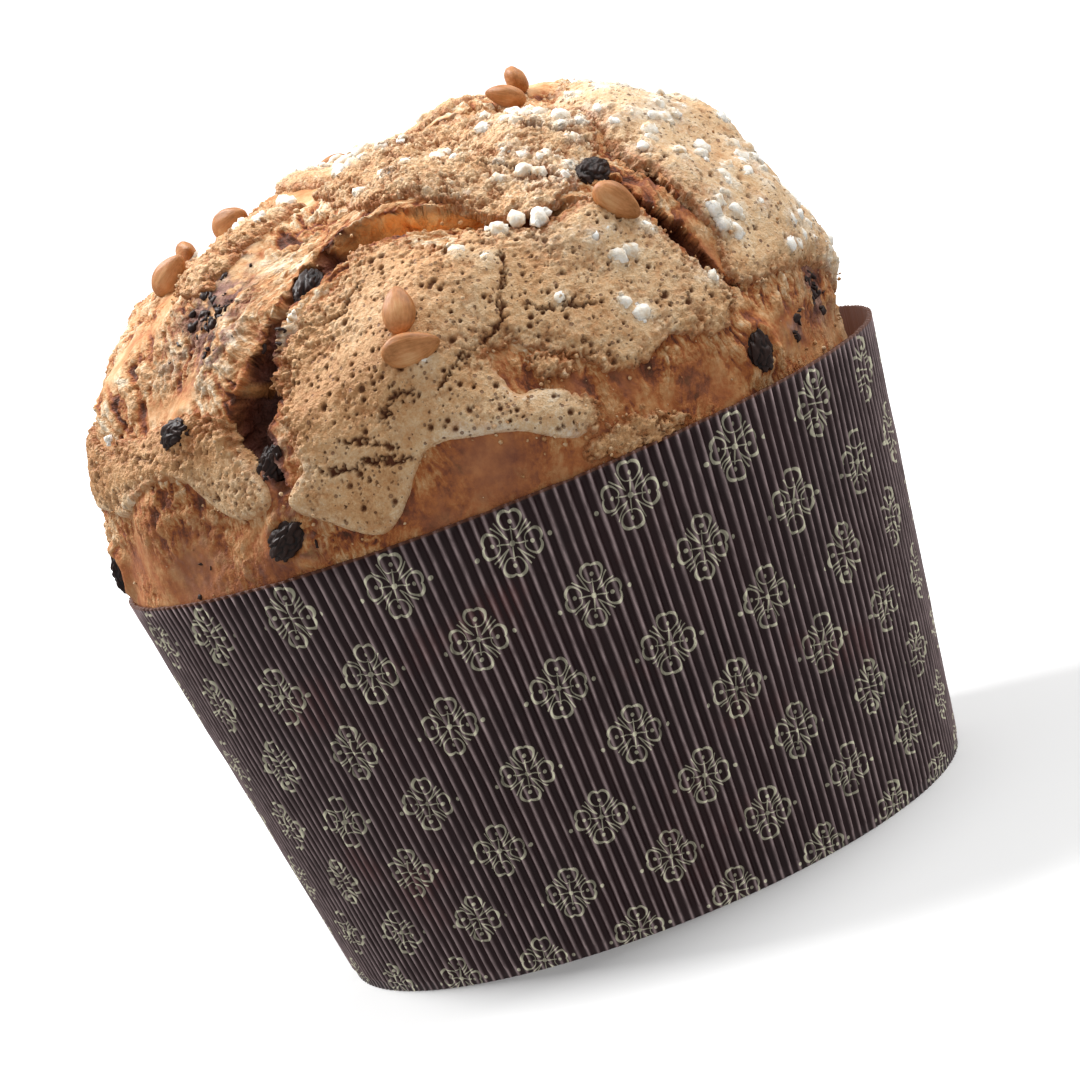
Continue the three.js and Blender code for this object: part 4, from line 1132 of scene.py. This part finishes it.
# Crumbs
# Bits of glaze and crust that broke off along the torn edges and lodged where they fell, and inside
# the rim at the right, where the loaf shrank away from its paper.

CRUMB_COUNT = 900
CRUMB_SIZES = (0.35, 1.5)

azimuth, height, keen = draw.uniform(-110, 130, 9000), draw.uniform(0.0, 0.95, 9000), draw.random(9000)
ways = direction(azimuth, np.degrees(np.arcsin(height)))
cover = plate_cover(ways)
liking = np.maximum(0.9 * hill(cover, 2.2) + 0.06,
                    0.9 * hill(turn_between(azimuth, 80), 30) * hill(height, 0.05))
picked = np.flatnonzero(keen < liking)[:CRUMB_COUNT]
lift = GLAZE_THICKNESS * ease(0, 1.5, cover) - 0.3 * (1 - ease(-1, 0, cover))

bm = bmesh.new()
for way, reach in zip(ways[picked], (crust_reach(ways) + lift)[picked]):
    size = CRUMB_SIZES[0] + (CRUMB_SIZES[1] - CRUMB_SIZES[0]) * draw.random() ** 2.5
    stretch = Matrix.Diagonal((*draw.uniform(0.6, 1.2, 3), 1))
    bmesh.ops.create_icosphere(bm, subdivisions=1, radius=0.5 * size * MM,
                               matrix=seat(way, draw.uniform(0, 360), draw.uniform(0, 360),
                                           reach + 0.25 * size) @ stretch)
crumb_mesh = mesh_of(bm, "crumbs")
places = read_points(crumb_mesh)
rough = np.stack([noise(places, 0.7, 320 + i) for i in range(3)], axis=1)
write_points(crumb_mesh, places + 0.18 * rough)

# Broken glaze and crust are matt and cream to orange-brown from one crumb to the next.
crumb_finish, crumb_shader = new_material("broken_glaze_crumbs", Roughness=0.75, IOR=1.45,
                                          Specular_IOR_Level=0.3)
tree = crumb_finish.node_tree
place = add(tree, "TexCoord", out=3)
shade = add(tree, "TexNoise", {"Vector": place, "Scale": 1 / (2 * MM), "Detail": 3.0, "Roughness": 0.7})
colour = add(tree, "ValToRGB", shade, stops=[(0.3, "#8a5630"), (0.45, "#b98a5c"), (0.7, "#dcc4a2")])
tree.links.new(colour, crumb_shader.inputs["Base Color"])

scraps = add_piece("crumbs", crumb_mesh, crumb_finish)
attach(scraps, "root")


# Almonds
# Whole peeled almonds pressed flat or on edge into the wet glaze and toasted with it: smooth pale brown
# kernels, narrower at one end and darker round the edge.

ALMOND_LENGTH, ALMOND_WIDTH, ALMOND_THICKNESS = 14.5, 9.5, 6.2
# Direction, turn, roll up on edge, and size against a full kernel
ALMONDS = [
    ((-6, 29), 78, 0, 0.84), ((-6, 23), -4, 60, 0.98), ((34, 32), -68, 70, 0.9), ((66, 66), 80, 40, 0.8),
    ((88, 66), 10, 50, 0.8), ((-79, 62), 35, 80, 0.95), ((-91, 54), 20, 60, 0.8),
    ((-82, 50), 62, 60, 0.9), ((138, 40), 25, 0, 0.95), ((-172, 30), -50, 20, 0.95),
    ((-128, 30), 70, 0, 0.95), ((-158, 66), 15, 30, 0.9)]


def almond_mesh(name, number, scale):
    """A ball of rings, longer than wide and narrowed to one end, with x along the kernel."""
    bm = bmesh.new()
    bmesh.ops.create_uvsphere(bm, u_segments=40, v_segments=28, radius=1,
                              matrix=Matrix.Rotation(math.pi / 2, 4, "Y"))
    mesh = mesh_of(bm, name)
    ball = read_points(mesh) * MM
    taper = 1 - 0.22 * ball[:, 0] - 0.12 * ball[:, 0] ** 2
    furrow = 0.05 * noise(ball * (0.6, 3, 3) + number, 1, 340)
    side = taper * (1 + furrow + 0.05 * noise(ball + number, 0.9, 341))
    bent = 0.06 * ball[:, 0] ** 2
    half = 0.5 * scale * np.array([ALMOND_LENGTH, ALMOND_WIDTH, ALMOND_THICKNESS])
    write_points(mesh, np.stack([ball[:, 0], ball[:, 1] * side + bent, ball[:, 2] * side], axis=1) * half)
    write_vectors(mesh, "kernel", ball * (1.2, 6, 6) + 5 * number)
    write_values(mesh, "belly", hill(np.hypot(ball[:, 0] + 0.1, ball[:, 1]), 0.62))
    return mesh


# Toasted almond flesh has a faint oily sheen, IOR 1.47: paler in the middle, finely streaked.
toasted, toasted_shader = new_material("toasted_almond", Roughness=0.5, IOR=1.47, Specular_IOR_Level=0.35,
                                       Subsurface_Weight=0.08, Subsurface_Scale=1.5 * MM)
tree = toasted.node_tree
place = add(tree, "TexCoord", out=3)
belly = add(tree, "Attribute", out=2, attribute_name="belly")
toasting = add(tree, "TexNoise", {"Vector": place, "Scale": 1 / (4 * MM), "Detail": 4.0, "Roughness": 0.6})
kernel_place = add(tree, "Attribute", out=1, attribute_name="kernel")
fleck = add(tree, "TexNoise", {"Vector": kernel_place, "Scale": 1 / MM, "Detail": 4.0, "Roughness": 0.65})
tone = add(tree, "Math", belly, 0.5, -0.65, operation="MULTIPLY_ADD")
tone = add(tree, "Math", toasting, 0.7, tone, operation="MULTIPLY_ADD")
tone = add(tree, "Math", fleck, 0.8, tone, operation="MULTIPLY_ADD")
colour = add(tree, "ValToRGB", tone, stops=[(0.0, "#98602f"), (0.35, "#c08350"), (0.65, "#d29e6c"),
                                            (1.0, "#e2bf92")])
tree.links.new(colour, toasted_shader.inputs["Base Color"])
bump = add(tree, "Bump", {"Strength": 0.5, "Distance": 0.3 * MM, "Height": fleck})
tree.links.new(bump, toasted_shader.inputs["Normal"])

for number, (at, turn, edge, scale) in enumerate(ALMONDS, 1):
    mesh = almond_mesh(f"almond_kernel_{number}", number, scale)
    way = direction(*at)
    reach = float(crust_reach(way[None])[0]) + GLAZE_THICKNESS + 0.2 * ALMOND_THICKNESS
    mesh.transform(seat(way, turn, edge, reach))
    kernel = add_piece(f"almond_kernel_{number}", mesh, toasted)
    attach(kernel, "root")
    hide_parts(f"almond_{number}")


# Raisins
# Plump dark raisins from the dough that came out at the splits and the rim; the oven dried them into folds
# and left them near black.

RAISIN_LENGTH, RAISIN_WIDTH, RAISIN_THICKNESS = 12, 8, 6.5
RAISIN_PROUD = 1.5


def raisin_mesh(name, number):
    bm = bmesh.new()
    bmesh.ops.create_icosphere(bm, subdivisions=5, radius=1)
    mesh = mesh_of(bm, name)
    ball = read_points(mesh) * MM
    moved = ball * (1, 1.5, 1.5) + 7 * number
    kinks = np.stack([noise(moved, 0.8, 350 + i) for i in range(3)], axis=1)
    folds = np.abs(noise(moved + 0.35 * kinks, 0.62, 355))
    fine = np.abs(noise(moved, 0.3, 356))
    size = 0.82 + 0.42 * np.minimum(folds, 0.55) + 0.1 * np.minimum(fine, 0.5)
    half = 0.5 * np.array([RAISIN_LENGTH, RAISIN_WIDTH, RAISIN_THICKNESS])
    taper = 1 - 0.1 * ball[:, :1] * (0, 1, 1)
    write_points(mesh, ball * taper * size[:, None] * half)
    write_values(mesh, "fold_shade", hill(folds, 0.12))
    return mesh


# Raisin skin with dried syrup has a dull sheen, IOR 1.45 and roughness 0.5: blackest in its folds, a
# painted shade.
raisin_skin, raisin_shader = new_material("syrupy_raisin_skin", Roughness=0.5, IOR=1.45,
                                          Specular_IOR_Level=0.25)
tree = raisin_skin.node_tree
place = add(tree, "TexCoord", out=3)
fold_shade = add(tree, "Attribute", out=2, attribute_name="fold_shade")
bloom = add(tree, "TexNoise", {"Vector": place, "Scale": 1 / (2.5 * MM), "Detail": 3.0, "Roughness": 0.6})
colour = add(tree, "Mix", {0: bloom, 6: "#150b08", 7: "#38221b"}, out=2, data_type="RGBA")
# Painted shade: the fold grooves are darkened towards black.
colour = add(tree, "Mix", {0: fold_shade, 6: colour, 7: "#0a0606"}, out=2, data_type="RGBA")
tree.links.new(colour, raisin_shader.inputs["Base Color"])
bump = add(tree, "Bump", {"Strength": 0.4, "Distance": 0.25 * MM, "Height": bloom})
tree.links.new(bump, raisin_shader.inputs["Normal"])

for number, (at, turn, sink) in enumerate(RAISINS, 1):
    mesh = raisin_mesh(f"raisin_fruit_{number}", number)
    way = direction(*at)
    mesh.transform(seat(way, turn, 0, float(crust_reach(way[None])[0]) + RAISIN_PROUD - sink))
    fruit = add_piece(f"raisin_fruit_{number}", mesh, raisin_skin)
    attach(fruit, "root")
    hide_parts(f"raisin_{number}")


# Berry bits
# Scraps of dark fruit skin that the dough tore apart: they stick out of the stained crust and the splits.

BIT_COUNT = 130
BIT_SIZES = (0.8, 2.8)

azimuth, height, keen = draw.uniform(-180, 180, 60000), draw.uniform(0.0, 0.95, 60000), draw.random(60000)
ways = direction(azimuth, np.degrees(np.arcsin(height)))
stain_hearts = [(at, 0.7 * spread, share) for at, spread, share in BERRY_STAINS]
ways = ways[keen < 0.9 * near_any(ways, stain_hearts) ** 2]
ways = ways[plate_cover(ways) < 0][:BIT_COUNT]
sunk = split_depths(ways, MAP_RADIUS * ways)[0]

bm = bmesh.new()
for way, reach in zip(ways, crust_reach(ways) - sunk):
    size = BIT_SIZES[0] + (BIT_SIZES[1] - BIT_SIZES[0]) * draw.random() ** 2
    stretch = Matrix.Diagonal((draw.uniform(1.0, 1.9), *draw.uniform(0.5, 1.0, 2), 1))
    bmesh.ops.create_icosphere(bm, subdivisions=2, radius=0.5 * size * MM,
                               matrix=seat(way, draw.uniform(0, 360), draw.uniform(-40, 40),
                                           reach - 0.3 * size) @ stretch)
bit_mesh = mesh_of(bm, "berry_bits")
places = read_points(bit_mesh)
crumpled = shifts(places, 1.3, 370, 2, 0.7, step=3)
write_points(bit_mesh, places + 0.4 * crumpled)
write_values(bit_mesh, "fold_shade", np.zeros(len(places)))

bits = add_piece("berry_bits", bit_mesh, raisin_skin)
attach(bits, "root")


# Floor, backdrop and light
# A white sweep curved up all round the loaf, a large soft light high on the right and a smaller one high
# behind the left, which throws the shadow to the lower right.

SWEEP_RADIUS = 3.0
SWEEP_BEND = 1.2
SWEEP_TOP = 3.5

bm = bmesh.new()
bend = [(SWEEP_RADIUS + SWEEP_BEND * math.sin(a), SWEEP_BEND * (1 - math.cos(a)))
        for a in np.linspace(0, math.pi / 2, 12)]
profile = [
    bm.verts.new((radius, 0, height))
    for radius, height in [(0, 0)] + bend + [(bend[-1][0], SWEEP_TOP)]]
edges = [bm.edges.new(pair) for pair in zip(profile, profile[1:])]
bmesh.ops.spin(bm, geom=profile + edges, axis=(0, 0, 1), cent=(0, 0, 0), angle=2 * math.pi, steps=96,
               use_merge=True)
bmesh.ops.remove_doubles(bm, verts=bm.verts, dist=1e-6)
sweep_paper, sweep_shader = new_material("white_studio_paper", Roughness=0.9, Base_Color=linear("#d6d6d6"),
                                         Emission_Color=(1, 1, 1, 1))
tree = sweep_paper.node_tree
# It glows a little more with distance, so that the floor under the loaf can hold its shadow.
place = add(tree, "TexCoord", out=3)
middle_out = add(tree, "VectorMath", place, out=1, operation="LENGTH")
glow = add(tree, "MapRange", {"Value": middle_out, "From Min": 0.25, "From Max": 1.4, "To Min": 0.05,
                              "To Max": 0.75})
tree.links.new(glow, sweep_shader.inputs["Emission Strength"])
sweep = add_piece("studio_sweep", mesh_of(bm, "studio_sweep"), sweep_paper)
# The sweep takes light and shadow but throws none back, so that the loaf keeps its dark side.
sweep.visible_diffuse = False
sweep.visible_glossy = False


def add_light(name, place, size, power):
    """A square soft light aimed at the middle of the loaf."""
    light = bpy.data.objects.new(name, bpy.data.lights.new(name, "AREA"))
    light.data.shape = "SQUARE"
    light.data.size = size
    light.data.energy = power
    light.location = place
    light.rotation_mode = "QUATERNION"
    light.rotation_quaternion = (Vector(place) - Vector((0, 0, 0.1))).to_track_quat("Z", "Y")
    bpy.context.scene.collection.objects.link(light)


add_light("key_light", (0.85, 0.30, 1.9), 1.2, 37)
add_light("left_light", (-0.95, 0.8, 1.7), 0.6, 55)
world = bpy.data.worlds.new("studio")
world.use_nodes = True
world.node_tree.nodes["Background"].inputs["Color"].default_value = (1, 1, 1, 1)
world.node_tree.nodes["Background"].inputs["Strength"].default_value = 0.6
bpy.context.scene.world = world
